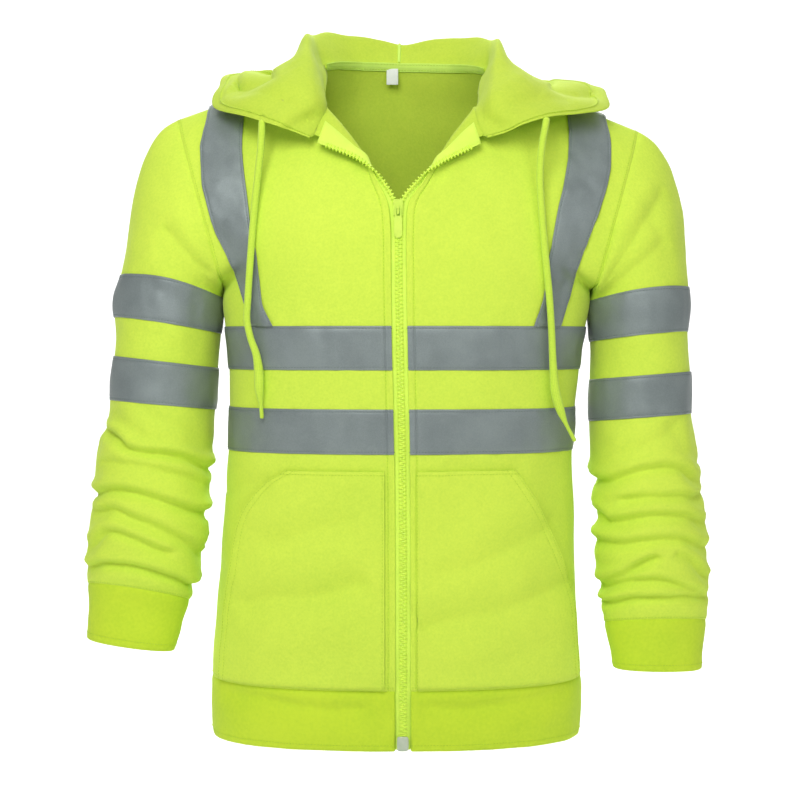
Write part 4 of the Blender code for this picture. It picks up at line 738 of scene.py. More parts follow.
class Cloth:
    """A fine grid on the outer face of a piece of cloth: points, normals, and millimetres along and across.

    inside is a point, or one for each coarse column, that the outer face of the first row looks away from.
    sewn names the edges that are drawn into a seam: first, last (rows), left, right (columns).
    """

    def __init__(self, name, coarse, inside, rows, columns, kind, sewn, closed=False, thick=FLEECE):
        self.name, self.kind, self.sewn, self.closed, self.thick = name, kind, sewn, closed, thick
        coarse = np.array(coarse, dtype=float)
        self.rows, self.columns = rows, columns
        self.turn = -1.0 if np.sum(grid_normals(coarse, closed)[0] * (coarse[0] - inside)) < 0 else 1.0
        self.points = refined(coarse, rows, columns, closed)
        self.renew()

    def renew(self):
        """Take the normals and the sizes along and across again."""
        self.normals = grid_normals(self.points, self.closed, self.turn)
        self.v = measured(self.points)
        self.u = measured(looped(self.points) if self.closed else self.points, 1)

    def row(self, coarse):
        """The fine row at a coarse one."""
        return int(np.searchsorted(self.rows, coarse - 1e-4))

    def column(self, coarse):
        return int(np.searchsorted(self.columns, coarse - 1e-4))

    def gap_to_seams(self):
        """How far each point is from the nearest sewn edge."""
        high, wide = self.v[:, None], self.u[None, :self.points.shape[1]]
        gaps = np.full(self.points.shape[:2], 1e3)
        for edge, gap in (("first", high), ("last", self.v[-1] - high), ("left", wide), ("right", self.u[-1] - wide)):
            if edge in self.sewn:
                gaps = np.minimum(gaps, gap)
        return gaps

    def settle(self, strength):
        """Lay the folds, the unevenness and the sewn edges into the cloth. Edges keep the normals they share."""
        gaps = self.gap_to_seams()
        moved = fold_heights(self.points, self.normals, FOLDS.get(self.name, {})) * strength
        for step, (height, size) in enumerate(UNEVEN[self.kind]):
            moved += height * ripple(self.points, size, 11 + step)
        shared = self.normals
        borders = [(0, slice(None)), (-1, slice(None))]
        if not self.closed:
            borders += [(slice(None), 0), (slice(None), -1)]
        moved = moved * (1 - bell(gaps, 0.0, SEAM_CALM)) - TUCK * bell(gaps, 0.0, TUCK_WIDE)
        self.points = self.points + shared * moved[..., None]
        self.renew()
        for border in borders:
            self.normals[border] = shared[border]

    def at(self, rows, columns, lift=0.0):
        """Points of the outer face at fine fractional rows and columns, moved out, and their normals."""
        rows, columns = np.broadcast_arrays(np.asarray(rows, float), np.asarray(columns, float))
        high, wide = self.points.shape[:2]
        r = np.clip(np.floor(rows).astype(int), 0, high - 2)
        if self.closed:
            c = np.floor(columns).astype(int) % wide
            fc = (columns - np.floor(columns))[..., None]
        else:
            c = np.clip(np.floor(columns).astype(int), 0, wide - 2)
            fc = (columns - c)[..., None]
        d = (c + 1) % wide
        fr = (rows - r)[..., None]

        def mix(grid):
            return (grid[r, c] * (1 - fr) + grid[r + 1, c] * fr) * (1 - fc) + (
                grid[r, d] * (1 - fr) + grid[r + 1, d] * fr) * fc

        normals = unit(mix(self.normals))
        return mix(self.points) + normals * np.asarray(lift)[..., None], normals


def crossing(values, wanted):
    """The first fractional place where a row of values rises through what is wanted."""
    ahead = values - wanted
    found = np.nonzero((ahead[:-1] <= 0) & (ahead[1:] > 0))[0]
    if not len(found):
        return 0.0 if abs(ahead[0]) < abs(ahead[-1]) else len(values) - 1.0
    k = int(found[0])
    return k + ahead[k] / (ahead[k] - ahead[k + 1])


# steps between the coarse lines
STRIP_FINE, NECK_FINE, SHOULDER_FINE, BACK_NECK_FINE, LOWER_FINE, YOKE_FINE = 3, 8, 8, 6, 9, 7
CAP_FINE, BAND_FINE, FOREARM_FINE, CUFF_FINE, HOOD_FINE, HEM_FINE, HEM_DOWN_FINE = 6, 6, 8, 6, 6, 8, 7
# more lines beside the stitching along the zip and round the hood's casing, as coarse places
ZIP_STITCH_LINES = (4.03, 4.055, 4.08, 4.105, 4.14)
CASING_LINES = (16.02, 16.06, 16.10, 16.14, 16.18)


def axis_points(points):
    """The body's own middle at each point's height."""
    return np.column_stack([table_at(TORSO, points[:, 2], 1), np.zeros(len(points)), points[:, 2]])


def mitred(both, into_pieces):
    """The normal along a seam; where the pieces fold back on each other it leans into the fold."""
    folded = np.clip(1.4 - np.linalg.norm(both, axis=1, keepdims=True), 0, 1)
    return unit(both + into_pieces * folded)


@functools.lru_cache(maxsize=None)
def cloths(strength):
    """All sewn cloth, with the edges and normals shared along the seams and the folds laid in."""
    shoulder = [SHOULDER_FINE] * SHOULDER_COLUMNS
    torso_rows = stations([LOWER_FINE] * LOWER_ROWS + [YOKE_FINE] * YOKE_ROWS)
    front_columns = stations([STRIP_FINE] * (STRIP_COLUMNS - 1) + [NECK_FINE] * NECK_COLUMNS + shoulder,
                             ZIP_STITCH_LINES)
    back_columns = stations(shoulder + [BACK_NECK_FINE] * 2 * BACK_NECK_COLUMNS + shoulder)
    made, back_points = {}, back_surface()
    for side in SIDES:
        surface = front_surface(side)
        seam = surface[-1, -SHOULDER_COLUMNS - 1:]
        if side == "left":
            back_points[-1, :SHOULDER_COLUMNS + 1] = seam[::-1]
        else:
            back_points[-1, -SHOULDER_COLUMNS - 1:] = seam
        for name, part, columns, edges in (("front_", surface[:, 1:], front_columns, ("first", "last", "right")),
                                           ("strip_", surface[:, :STRIP_COLUMNS + 1],
                                            stations([1] * STRIP_COLUMNS), ())):
            made[name + side] = Cloth(name + side, part, axis_points(part[0]), torso_rows, columns, "body", edges)
    made["back_panel"] = Cloth("back_panel", back_points, axis_points(back_points[0]), torso_rows, back_columns,
                               "body", ("first", "last", "left", "right"))
    for side in SIDES:
        join_side(made, side)
    hem_rows = []
    for z in np.linspace(Z_HEM_SEAM, Z_HEM, HEM_ROWS + 1):
        zip_x = table_at(ZIP_LINE, z)
        angles = np.linspace(front_angle(z, zip_x + TAPE_EDGE), front_angle(z, zip_x - TAPE_EDGE) + 2 * math.pi,
                             HEM_POINTS)
        wrapped = np.where(angles <= math.pi, angles, angles - 2 * math.pi)
        hem_rows.append(even([torso(z, angle) for angle in wrapped], np.linspace(0, 1, HEM_COLUMNS + 1)))
    made["hem_band"] = Cloth("hem_band", hem_rows, axis_points(hem_rows[0]), stations([HEM_DOWN_FINE] * HEM_ROWS),
                             stations([HEM_FINE] * HEM_COLUMNS), "rib", ("first",), thick=RIB)
    made["hood"] = hood_cloth(made)
    for name, cloth in made.items():
        if not name.startswith("strip_"):
            cloth.settle(strength)
        if cloth.kind == "rib":
            rounded(cloth)
    for side in SIDES:
        groove(made["front_" + side], 1, ZIP_STITCH_LINES[2])
    groove(made["hood"], 0, CASING_LINES[2])
    return made


def rounded(cloth):
    """A doubled rib stands out softly between its sewn edge and its folded edge."""
    share = np.clip(cloth.v / cloth.v[-1], 0, 1)[:, None, None]
    cloth.points = cloth.points + cloth.normals * np.where(share < 0.02, 0, 1.5 * np.sin(share * math.pi) ** 0.6 - 0.4)
    keep = cloth.normals[[0, -1]]
    cloth.renew()
    cloth.normals[[0, -1]] = keep


def groove(cloth, axis, coarse):
    """A line of stitching pulls the cloth in along a row (0) or a column (1), with soft ridges beside it."""
    places, sizes = (cloth.rows, cloth.v) if axis == 0 else (cloth.columns, cloth.u)
    gap = sizes[:len(places)] - sizes[nearest(places, coarse)]
    out = -0.75 * bell(gap, 0.0, 0.9) + 0.4 * bell(np.abs(gap), 3.2, 2.0)
    cloth.points = cloth.points + cloth.normals * np.expand_dims(out, (1 - axis, 2))


def sewn(one, here, other, there):
    """Give two edges, each a place in its grid, the same points and normals."""
    points, normals = (one.points[here] + other.points[there]) / 2, unit(one.normals[here] + other.normals[there])
    for cloth, places in ((one, here), (other, there)):
        cloth.points[places], cloth.normals[places] = points, normals


def join_side(made, side):
    """Add a sleeve and cuff, and join the side seam, the shoulder seam and the armhole."""
    front, back = made["front_" + side], made["back_panel"]
    column, turn = (0, -1) if side == "left" else (-1, 1)
    low, neck = front.row(LOWER_ROWS), front.column(STRIP_COLUMNS - 1 + NECK_COLUMNS)
    count = front.points.shape[1] - neck
    shoulder = np.arange(back.points.shape[1])[slice(0, count) if side == "left" else slice(-count, None)][::turn]
    sewn(front, np.s_[-1, neck:], back, (-1, shoulder))
    sewn(front, np.s_[:low + 1, -1], back, np.s_[:low + 1, column])

    # the armhole runs up the front and down the back
    down = slice(-2, low, -1)
    loop = np.concatenate([front.points[low:, -1], back.points[down, column]])
    coarse_loop = np.concatenate([front.points[low::YOKE_FINE, -1],
                                  back.points[low:, column][-1 - YOKE_FINE:0:-YOKE_FINE]])
    cells = len(coarse_loop)
    around = stations([YOKE_FINE] * cells)[:-1]
    sleeve = Cloth("sleeve_" + side, sleeve_surface(side, coarse_loop), coarse_loop.mean(axis=0),
                   stations([CAP_FINE] * CAP_ROWS + [BAND_FINE] * BAND_CELLS + [FOREARM_FINE] * FOREARM_CELLS), around,
                   "arm", ("first", "last"), closed=True)
    sleeve.points[0] = loop
    into_body = np.concatenate([front.points[low:, -2], back.points[down, column - turn]]) - loop
    into_body[0] = front.points[low - 1, -1] - loop[0]
    both = np.concatenate([front.normals[low:, -1], back.normals[down, column]]) + sleeve.normals[0]
    ring = mitred(both, unit(into_body) + unit(sleeve.points[1] - loop))
    top = len(front.points) - low
    sleeve.normals[0] = ring
    front.normals[low:, -1] = ring[:top]
    back.normals[low:, column] = np.concatenate([ring[:1], ring[:top - 2:-1]])

    rings = np.array([sleeve_ring(side, line, cells) for line in sleeve_lines(side, CUFF_LINE, CUFF_LINE + 1)])
    cuff = Cloth("cuff_" + side, rings, rings[0].mean(axis=0), stations([CUFF_FINE] * (len(rings) - 1)), around, "rib",
                 ("first",), closed=True, thick=RIB)
    cuff.points[0] = sleeve.points[-1]
    sewn(sleeve, -1, cuff, 0)
    made["sleeve_" + side], made["cuff_" + side] = sleeve, cuff


def hood_cloth(made):
    """The hood, sewn to the neck seam from the left zip top round the back to the right zip top."""
    left, right, back = (made[name] for name in ("front_left", "front_right", "back_panel"))
    cells = STRIP_COLUMNS - 1 + NECK_COLUMNS
    last = left.column(cells)
    middle = slice(back.column(SHOULDER_COLUMNS) + 1, back.column(SHOULDER_COLUMNS + 2 * BACK_NECK_COLUMNS))

    def round_neck(fronts, behind, row):
        return np.concatenate([fronts[0][row, :last + 1], behind[row, middle], fronts[1][row, last::-1]])

    neck, below = (round_neck((left.points, right.points), back.points, row) for row in (-1, -2))
    normals = round_neck((left.normals, right.normals), back.normals, -1)
    whole = 2 * cells + 2 * BACK_NECK_COLUMNS
    columns = np.concatenate([left.columns[:last + 1], cells + stations([BACK_NECK_FINE] * 2 * BACK_NECK_COLUMNS)[1:-1],
                              whole - left.columns[last::-1]])
    coarse_at = [nearest(columns, k) for k in range(whole + 1)]
    hood = Cloth("hood", hood_surface(neck[coarse_at]), (neck - normals)[coarse_at],
                 stations([HOOD_FINE] * sum(HOOD_ROWS), CASING_LINES), columns, "hood", ("first",))
    hood.points[0] = neck
    shared = mitred(normals + hood.normals[0], unit(below - neck) + unit(hood.points[1] - neck))
    hood.normals[0] = shared
    left.normals[-1, :last + 1] = shared[:last + 1]
    right.normals[-1, last::-1] = shared[-last - 1:]
    back.normals[-1, middle] = shared[last + 1:-last - 1]
    return hood


# ================================================================ meshes
RIM_SHARE, RIM_MOST = 0.8, 1.2      # how far a rim stands out, as a share of half the wall, and at most, mm


def mesh_object(name, points, faces, look, places=None, smooth=True):
    """A mesh object at the origin from points in metres."""
    mesh = bpy.data.meshes.new(name)
    mesh.from_pydata(np.asarray(points).tolist(), [], faces)
    if places is not None:
        mesh.uv_layers.new(name="cloth").data.foreach_set("uv", np.ascontiguousarray(places, dtype=np.float32).ravel())
    mesh.validate()
    if smooth:
        mesh.shade_smooth()
    mesh.materials.append(look)
    item = bpy.data.objects.new(name, mesh)
    bpy.context.collection.objects.link(item)
    return item


def shell(name, outer, normals, thick, look, closed=False, u=None, shaded_reverse=None):
    """A piece of cloth: its outer face, the same moved in, and a rounded rim. UVs are metres along the cloth.

    The last argument is the finish of the inner face where it differs: a darker green, painted shade that stands in for
    the shade inside the hood, the neck and the turned-over fronts.
    """
    rows, columns = outer.shape[:2]
    points = [outer.reshape(-1, 3), (outer - normals * thick).reshape(-1, 3)]
    shift = rows * columns
    u = measured(looped(outer) if closed else outer, 1) if u is None else u
    v = measured(outer)
    faces, places = [], []

    def add_faces(indices, corners):
        faces.append(np.stack(indices, axis=1))
        places.append(np.stack([np.stack([u[column], v[row]], axis=1) for row, column in corners], axis=1))

    def rim(spots, beside, way):
        """The rounded edge along one border: an extra line of points pushed out of the wall's middle."""
        upper, lower = points[0][spots], points[1][spots]
        half = np.linalg.norm(upper - lower, axis=1, keepdims=True) / 2
        line = sum(map(len, points)) + np.arange(len(spots))
        points.append((upper + lower) / 2 + unit(upper - points[0][beside]) * np.minimum(half * RIM_SHARE, RIM_MOST))
        k = np.arange(len(spots) if closed else len(spots) - 1)
        after = (k + 1) % len(spots)
        here, there = ((spots[i] // columns, spots[i] % columns) for i in (k, after))
        for low, high in ((spots, line), (line, shift + spots)):
            add_faces([low[k], low[after], high[after], high[k]][::way], [here, there, there, here][::way])

    r, c = (grid.ravel() for grid in np.meshgrid(np.arange(rows - 1), np.arange(columns if closed else columns - 1),
                                                 indexing="ij"))
    around = [(r, c), (r, c + 1), (r + 1, c + 1), (r + 1, c)]
    for start, corners in ((0, around), (shift, around[::-1])):
        add_faces([start + row * columns + column % columns for row, column in corners], corners)
    ring, side = np.arange(columns), np.arange(rows) * columns
    rim(ring, ring + columns, -1)
    rim(ring + (rows - 1) * columns, ring + (rows - 2) * columns, 1)
    if not closed:
        rim(side, side + 1, 1)
        rim(side + columns - 1, side + columns - 2, -1)
    faces, places = np.concatenate(faces), np.concatenate(places) * MM
    if np.sum(grid_normals(outer, closed) * normals) < 0:
        faces, places = faces[:, ::-1], places[:, ::-1]
    piece = mesh_object(name, np.concatenate(points) * MM, faces.tolist(), look, places.reshape(-1, 2))
    # the inner faces take the darker green: painted shade inside the hood, the neck and the turned-over fronts
    if shaded_reverse:
        piece.data.materials.append(shaded_reverse)
        index = np.zeros(len(faces), dtype=np.int32)
        index[len(r):2 * len(r)] = 1
        piece.data.polygons.foreach_set("material_index", index)
    return piece


def ring_faces(rings, count, turned):
    """The faces of a solid made of rings of points, closed at both ends; turned where the rings run the other way."""
    quads = [[ring * count + k, ring * count + (k + 1) % count, (ring + 1) * count + (k + 1) % count,
              (ring + 1) * count + k] for ring in range(rings - 1) for k in range(count)]
    ends = [list(range(count))[::-1], [(rings - 1) * count + k for k in range(count)]]
    if turned:
        quads, ends = [[a, d, c, b] for a, b, c, d in quads], [end[::-1] for end in ends]
    return quads + ends


def solid(name, rings, look, places=None, turned=False, smooth=False):
    """A mesh object from rings of points in millimetres."""
    faces = ring_faces(len(rings), len(rings[0]), turned)
    return mesh_object(name, np.concatenate(rings) * MM, faces, look, places, smooth)


def tube(name, path, radii, look, sides=20):
    """A tube along points in millimetres, with rounded ends and UVs round and along."""
    tangents = unit(np.gradient(path, axis=0))
    across = unit(np.cross(tangents[0], -FORWARD))
    turn = np.arange(sides)[:, None] * 2 * math.pi / sides
    rings, v = [], list(measured(path))
    for point, tangent, radius in zip(path, tangents, radii):
        across = unit(across - tangent * (across @ tangent))
        rings.append(point + (np.cos(turn) * across + np.sin(turn) * np.cross(tangent, across)) * radius)
    head, foot = ([path[at] + tangents[at] * way * radii[at] * share * 0.8 + (rings[at] - path[at])
                   * math.sqrt(1 - share**2) for share in (0.45, 0.8)] for at, way in ((0, -1), (-1, 1)))
    rings, v = head[::-1] + rings + foot, v[:1] * 2 + v + v[-1:] * 2
    places = [(i + di, v[k + dk]) for k in range(len(rings) - 1) for i in range(sides)
              for di, dk in ((0, 0), (1, 0), (1, 1), (0, 1))] + [(0, 0)] * 2 * sides
    around = 2 * math.pi * float(np.median(radii)) / sides
    return solid(name, rings, look, np.array(places) * np.array([around, 1.0]) * MM, smooth=True)


def ride(piece, node=None):
    """Hang a finished piece on the garment, in place of a solid where it has one."""
    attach(piece, "garment")
    if node:
        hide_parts(node)


def finish_piece(piece, node, replaces=True):
    """Name a piece after its node and hang it on the garment, in place of the node's solid unless replaces is false."""
    piece.name = piece.data.name = node + "_cloth"
    ride(piece, node if replaces else None)


# ================================================================ sewn lines
LINES = {"lime": [], "grey": [], "teeth": []}       # each is (points, normals) in mm
STITCH_LIFT = 0.15


def sew(colour, points, normals, lift=STITCH_LIFT, closed=False):
    """Remember a row of stitches along points on a piece."""
    if closed:
        points, normals = looped(points), looped(normals)
    normals = unit(normals)
    LINES[colour].append((points + normals * lift, normals))


# across a tape from its edge: the lines of its grid, and how many cells lie between the last one of each side
TAPE_LINES = np.array([0.0, 0.7, 1.7, 2.5, 3.3, 4.6])
TAPE_STITCH = 3                     # the line that the stitches run along
TAPE_CELLS = 11
# height and width of how a tape rises inwards, lies down at its stitches, and turns down at its edges
TAPE_RISE, TAPE_PRESSED, TAPE_TURNED = (0.35, 6.0), (0.42, 0.9), (0.25, 0.8)
BAND_END_GAP = 0.12                 # a band stops this share of a column short of the zip and the side seam
CRINKLE_SQUASH = np.array([1.0, 1.0, 0.35])     # a band's fine crinkles are longer up and down
BRACE_INSIDE = 3.2                  # a brace stays this many fine columns inside the armhole
BRACE_WIDE = 46.0
BRACE_SEAM_LIFT, BRACE_SEAM_ROWS = 0.9, 3.0     # it bridges the shoulder seam and doesn't follow it
BRACE_SLANT = 0.45                  # its creases run at a slant, and are longer across the slant than along it
BRACE_SQUASH = np.array([0.4, 0.5, 1.0])


def across_tape(total):
    """Places across a tape: close together near both edges, even between."""
    inner = np.linspace(TAPE_LINES[-1], total - TAPE_LINES[-1], TAPE_CELLS + 1)[1:-1]
    return np.concatenate([TAPE_LINES, inner, total - TAPE_LINES[::-1]])


def lay_tape(name, points, normals, lift, crinkle, axis=0, closed=False):
    """A tape from a grid on the cloth, whose first and last rows (axis 0) or columns (1) are its sewn edges."""
    across = measured(points, axis)
    gap = np.minimum(across, across[-1] - across)
    raised = (TAPE_RISE[0] * np.tanh(gap / TAPE_RISE[1]) - TAPE_TURNED[0] * bell(gap, 0.0, TAPE_TURNED[1])
              - TAPE_PRESSED[0] * bell(gap, TAPE_LINES[TAPE_STITCH], TAPE_PRESSED[1]))
    top = points + normals * (lift + TAPE + np.expand_dims(raised, 1 - axis) + crinkle)[..., None]
    piece = shell(name, top, normals, TAPE, finish("reflective tape"), closed)
    for k in (TAPE_STITCH, -1 - TAPE_STITCH):
        sew("grey", top.take(k, axis), normals.take(k, axis), closed=closed)
    finish_piece(piece, name)


# ================================================================ pieces
# what each panel lies on
PANELS = {"front_left": ["back_panel"], "front_right": ["back_panel"], "back_panel": ["front_left", "front_right"],
          "sleeve_left": ["front_left", "back_panel"], "sleeve_right": ["front_right", "back_panel"],
          "cuff_left": ["sleeve_left"], "cuff_right": ["sleeve_right"],
          "hem_band": ["front_left", "front_right", "back_panel"], "hood": ["back_panel"]}


def make_panels(chosen):
    """The fronts, back, sleeves, cuffs, hem band and hood, and the stitching that shows on them."""
    made = cloths(chosen.fold_strength)
    for name, rests_on in PANELS.items():
        cloth = made[name]
        # fleece pieces get a darker green on their inner faces: painted shade for the hood's inside, the neck and the
        # lapels
        slot_name, shaded_reverse = ("rib", None) if cloth.kind == "rib" else ("fleece", finish("fleece reverse"))
        piece = shell(name, cloth.points, cloth.normals, cloth.thick, finish(slot_name), cloth.closed, cloth.u, shaded_reverse)
        finish_piece(piece, name)
    front, hood = made["front_left"], made["hood"]
    low, casing = front.row(LOWER_ROWS), nearest(hood.rows, CASING_LINES[2])
    rows = []
    for side in SIDES:
        rows += [("front_" + side, np.s_[:, nearest(front.columns, ZIP_STITCH_LINES[2])], 0.2),
                 ("front_" + side, np.s_[1, 4:], STITCH_LIFT), ("sleeve_" + side, -2, STITCH_LIFT),
                 ("cuff_" + side, -3, STITCH_LIFT), ("front_" + side, np.s_[low:, -2], STITCH_LIFT)]
    for name, where, lift in rows + [("back_panel", 1, STITCH_LIFT), ("hood", casing, STITCH_LIFT)]:
        sew("lime", made[name].points[where], made[name].normals[where], lift, made[name].closed)
    sew("lime", hood.points[casing] - hood.normals[casing] * FLEECE, -hood.normals[casing])
    sew("lime", made["hem_band"].points[-3], made["hem_band"].normals[-3])


def make_tapes(chosen):
    """The bands round the body and the sleeves, and the braces."""
    made = cloths(chosen.fold_strength)
    bands = []
    for level, (bottom, top) in BANDS.items():
        for name, base in (("front_tape_%s_left", "front_left"), ("front_tape_%s_right", "front_right"),
                           ("back_tape_%s", "back_panel")):
            name %= level
            bands.append((name, base, bottom, top, 40 + len(name) + (7 if level == "upper" else 0)))
    for side in SIDES:
        for level, line in (("upper", 0), ("lower", 2)):
            first = CAP_ROWS + sum(row[4] for row in SLEEVE_LINES[side][:line])
            bands.append(("sleeve_tape_%s_%s" % (level, side), "sleeve_" + side, first,
                          first + SLEEVE_LINES[side][line][4], 60 + line))
    for name, base_name, bottom, top, seed in bands:
        base = made[base_name]
        heights = base.v[base.row(bottom)], base.v[base.row(top)]
        rows = np.interp(across_tape(heights[1] - heights[0]) + heights[0], base.v, np.arange(len(base.v)))
        columns = np.arange(base.points.shape[1], dtype=float)
        if not base.closed:
            columns[[0, -1]] += (BAND_END_GAP, -BAND_END_GAP)
        points, normals = base.at(rows[:, None], columns[None, :])
        crinkle = 0.30 * ripple(points * CRINKLE_SQUASH, 20, seed) + 0.35 * np.clip(ripple(points, 34, seed + 1), 0, 2)
        lay_tape(name, points, normals, TAPE_LIFT, crinkle, closed=base.closed)
    for side in SIDES:
        make_brace(made, side)


def make_brace(made, side):
    """The tape that runs up from the front band, over the shoulder and down to the back band."""
    front, back, sign = made["front_" + side], made["back_panel"], SIDES[side]
    start, half = front.row(BANDS["upper"][1]), back.points.shape[1] // 2
    behind = [(z, SHOULDER_SHIFT + sign * inner, SHOULDER_SHIFT + sign * outer) for z, inner, outer in BRACE_BACK]
    lines = []
    for base, table, picked, order in (
            (front, BRACES[side], np.arange(front.column(STRIP_COLUMNS - 1), front.points.shape[1]),
             range(start, len(front.rows))),
            (back, behind, np.arange(half, -1, -1) if side == "left" else np.arange(half, back.points.shape[1]),
             range(len(back.rows) - 2, start - 1, -1))):
        for row in order:
            xs, _, zs = base.points[row, picked].T
            inner, outer = (np.interp(min(crossing((xs - table_at(table, zs, edge)) * sign, 0.0),
                                          len(picked) - 1 - BRACE_INSIDE), np.arange(len(picked)), picked)
                            for edge in (1, 2))
            lines.append(base.at(float(row), inner + (outer - inner) * across_tape(BRACE_WIDE) / BRACE_WIDE))
    points, normals = np.array([line[0] for line in lines]), unit(np.array([line[1] for line in lines]))
    seam = len(front.rows) - start - 1
    lift = BRACE_LIFT + BRACE_SEAM_LIFT * bell(np.arange(len(points)), seam, BRACE_SEAM_ROWS)[:, None]
    slanted = points @ np.array([[1, 0, BRACE_SLANT], [0, 1, 0], [-BRACE_SLANT * sign, 0, 1]])
    crinkle = 0.55 * np.clip(ripple(slanted * BRACE_SQUASH, 19, 70), -0.7, 2) + 0.2 * ripple(points, 13, 71)
    lay_tape("brace_" + side, points, normals, lift, crinkle, axis=1)


# the lines of a pocket's grid, from its inner edge and from its mouth, and the cells between
POCKET_LINES = np.array([0.0, 0.8, 1.8, 3.0])
MOUTH_LINES = np.array([0.0, 0.8, 1.8, 3.2, 5.0, 6.4, 7.6, 9.0, 10.4, 12.0])
POCKET_CELLS = 34
MOUTH_HEM = 10.5                    # how wide the hem of the mouth is
EDGE_STITCH, HEM_STITCH = 1.8, 9.0  # from an edge to the stitches beside it and to those of the mouth's hem


def make_pockets(chosen):
    """Patches with a slanted hemmed mouth, sewn at the top, the inner edge and the hem seam."""
    made = cloths(chosen.fold_strength)
    for side, sign in SIDES.items():
        front, pocket, name = made["front_" + side], POCKET[side], "pocket_" + side
        middle = front.points.shape[1] // 2
        top = nearest(front.points[:front.row(9), middle, 2], pocket["top"])
        lines = []
        for row in range(1, top + 1):
            reach = table_at(pocket["mouth"][::-1], front.points[row, middle, 2])
            inner, outer = (crossing(front.points[row, :, 0] * sign, sign * x) for x in (pocket["inner"], reach))
            wide = abs(front.u[min(int(outer), len(front.u) - 1)] - front.u[int(inner)])
            places = np.concatenate([POCKET_LINES, np.linspace(5.0, max(wide - 14.0, 8.0), POCKET_CELLS),
                                     wide - MOUTH_LINES[::-1]]) / max(wide, 20.0)
            gape = (0.35 + 0.65 * math.sin(math.pi * (top - row) / (top - 1))) * POCKET_GAPE
            gap = (1 - places) * wide
            lift = (POCKET_LIFT + gape * np.clip(places, 0, 1) ** 2.5 + 0.55 / (1 + np.exp((gap - MOUTH_HEM) / 0.8))
                    - 0.5 * bell(gap, HEM_STITCH, 0.9) - 0.3 * bell(gap, EDGE_STITCH, 0.9)
                    - 0.4 * bell(places * wide, EDGE_STITCH, 0.9) - 0.45 * bell((top - row) * 4.0, 4.0, 3.0))
            lines.append(front.at(float(row), inner + (outer - inner) * places, lift + FLEECE))
        points, normals = (np.array(grid) for grid in zip(*lines))
        sewn_down = np.clip(np.linspace(0, 4, len(points)), 0, 1)[:, None, None]
        points = points + normals * (0.5 * ripple(points, 46, 81 + int(sign)))[..., None] * sewn_down
        piece = shell(name, points, normals, FLEECE, finish("fleece"))
        for k in (-3, -8, 2):
            sew("lime", points[:, k], normals[:, k])
        sew("lime", points[-2], normals[-2])
        finish_piece(piece, name)


# a half of the zip, across from the teeth and out from the line of the cloth: its cord, then the flat tape
ZIP_PROFILE = ((0.0, -1.5), (0.6, -1.1), (1.7, -1.1), (2.4, -1.5), (3.4, -2.0), (5.0, -2.2), (8.0, -2.3), (12.0, -2.4))
ZIP_FLAT, ZIP_WIDE = 5.0, 12.0      # where the flat part starts and ends
ZIP_HEM_WIDE, ZIP_HEM_SUNK = 13.0, 1.7      # its width between the ends of the hem band, and how far it lies back
ZIP_THICK = 0.9
TEETH_OUT, TEETH_IN = -1.9, 0.6     # the middle of the teeth, out from that line and away from the edge


def make_zip_tapes(chosen):
    """Two halves of tape behind the fronts' edges, with their cords, and the lines of their teeth."""
    made = cloths(chosen.fold_strength)
    for side, sign in SIDES.items():
        edge, name = made["strip_" + side], "zip_" + side
        rows = []
        for z in np.linspace(Z_HEM + 1.5, Z_HEM_SEAM - 4, 16):
            tooth, body = front_row(side, z)
            rows.append((tooth, body[0], FORWARD, ZIP_HEM_WIDE, ZIP_HEM_SUNK))
        start = edge.row(LOWER_ROWS + 3.5)
        for row in range(1, len(edge.points) - 2):
            turned = min(max((row - start) / (1.2 * YOKE_FINE), 0.0), 1.0)
            normal = unit(FORWARD * (1 - turned) + edge.normals[row, 0] * turned)
            wide = np.linalg.norm(edge.points[row, STRIP_COLUMNS] - edge.points[row, 0])
            reach = min(ZIP_WIDE + max(wide - 20.0, 0.0) * 0.55, 0.5 * wide + 3.0 * (wide > 13.0) + 6 * turned)
            rows.append((edge.points[row, 0], edge.points[row, 1], normal, max(reach, 7.0), 0.0))
        grid = np.array([[tooth + unit(beside - tooth) * (a if a < ZIP_FLAT else ZIP_FLAT + (a - ZIP_FLAT)
                                                          * (reach - ZIP_FLAT) / (ZIP_WIDE - ZIP_FLAT))
                          + normal * (out - sunk * min(max((a - ZIP_FLAT) / 3, 0), 1)) for a, out in ZIP_PROFILE]
                         for tooth, beside, normal, reach, sunk in rows])
        normals = np.array([[row[2]] * len(ZIP_PROFILE) for row in rows])
        finish_piece(shell(name, grid, normals, ZIP_THICK, finish("zip tape")), name)
        beside = np.array([unit(row[1] - row[0]) for row in rows])
        line = np.array([row[0] for row in rows]) + normals[:, 0] * TEETH_OUT + beside * TEETH_IN
        LINES["teeth"].append((line[:-2], normals[:-2, 0], -beside[:-2], 0.0 if sign < 0 else chosen.tooth_pitch / 2))


NECK_TAPE_LINES = np.array([5.0, 4.2, 3.2, 1.0, -1.0, -3.2, -4.2, -5.0])    # down from the neck seam
NECK_TAPE_GAP = 1.0                 # the tape's face, in from the cloth's inner face
LABEL_LONG = 20.0
# the hood's seam tape: its lines across from the seam, how far each stands out, and how far it leans to the left
HOOD_SEAM_LINES = np.array([-3.4, -2.9, -1.8, 0.0, 1.8, 2.9, 3.4])
HOOD_SEAM_OUT = np.array([0.2, 1.0, 1.4, 2.0, 1.4, 1.0, 0.2])
HOOD_SEAM_LEAN = (1.5, 8.0)         # at the top, and as much more at the neck


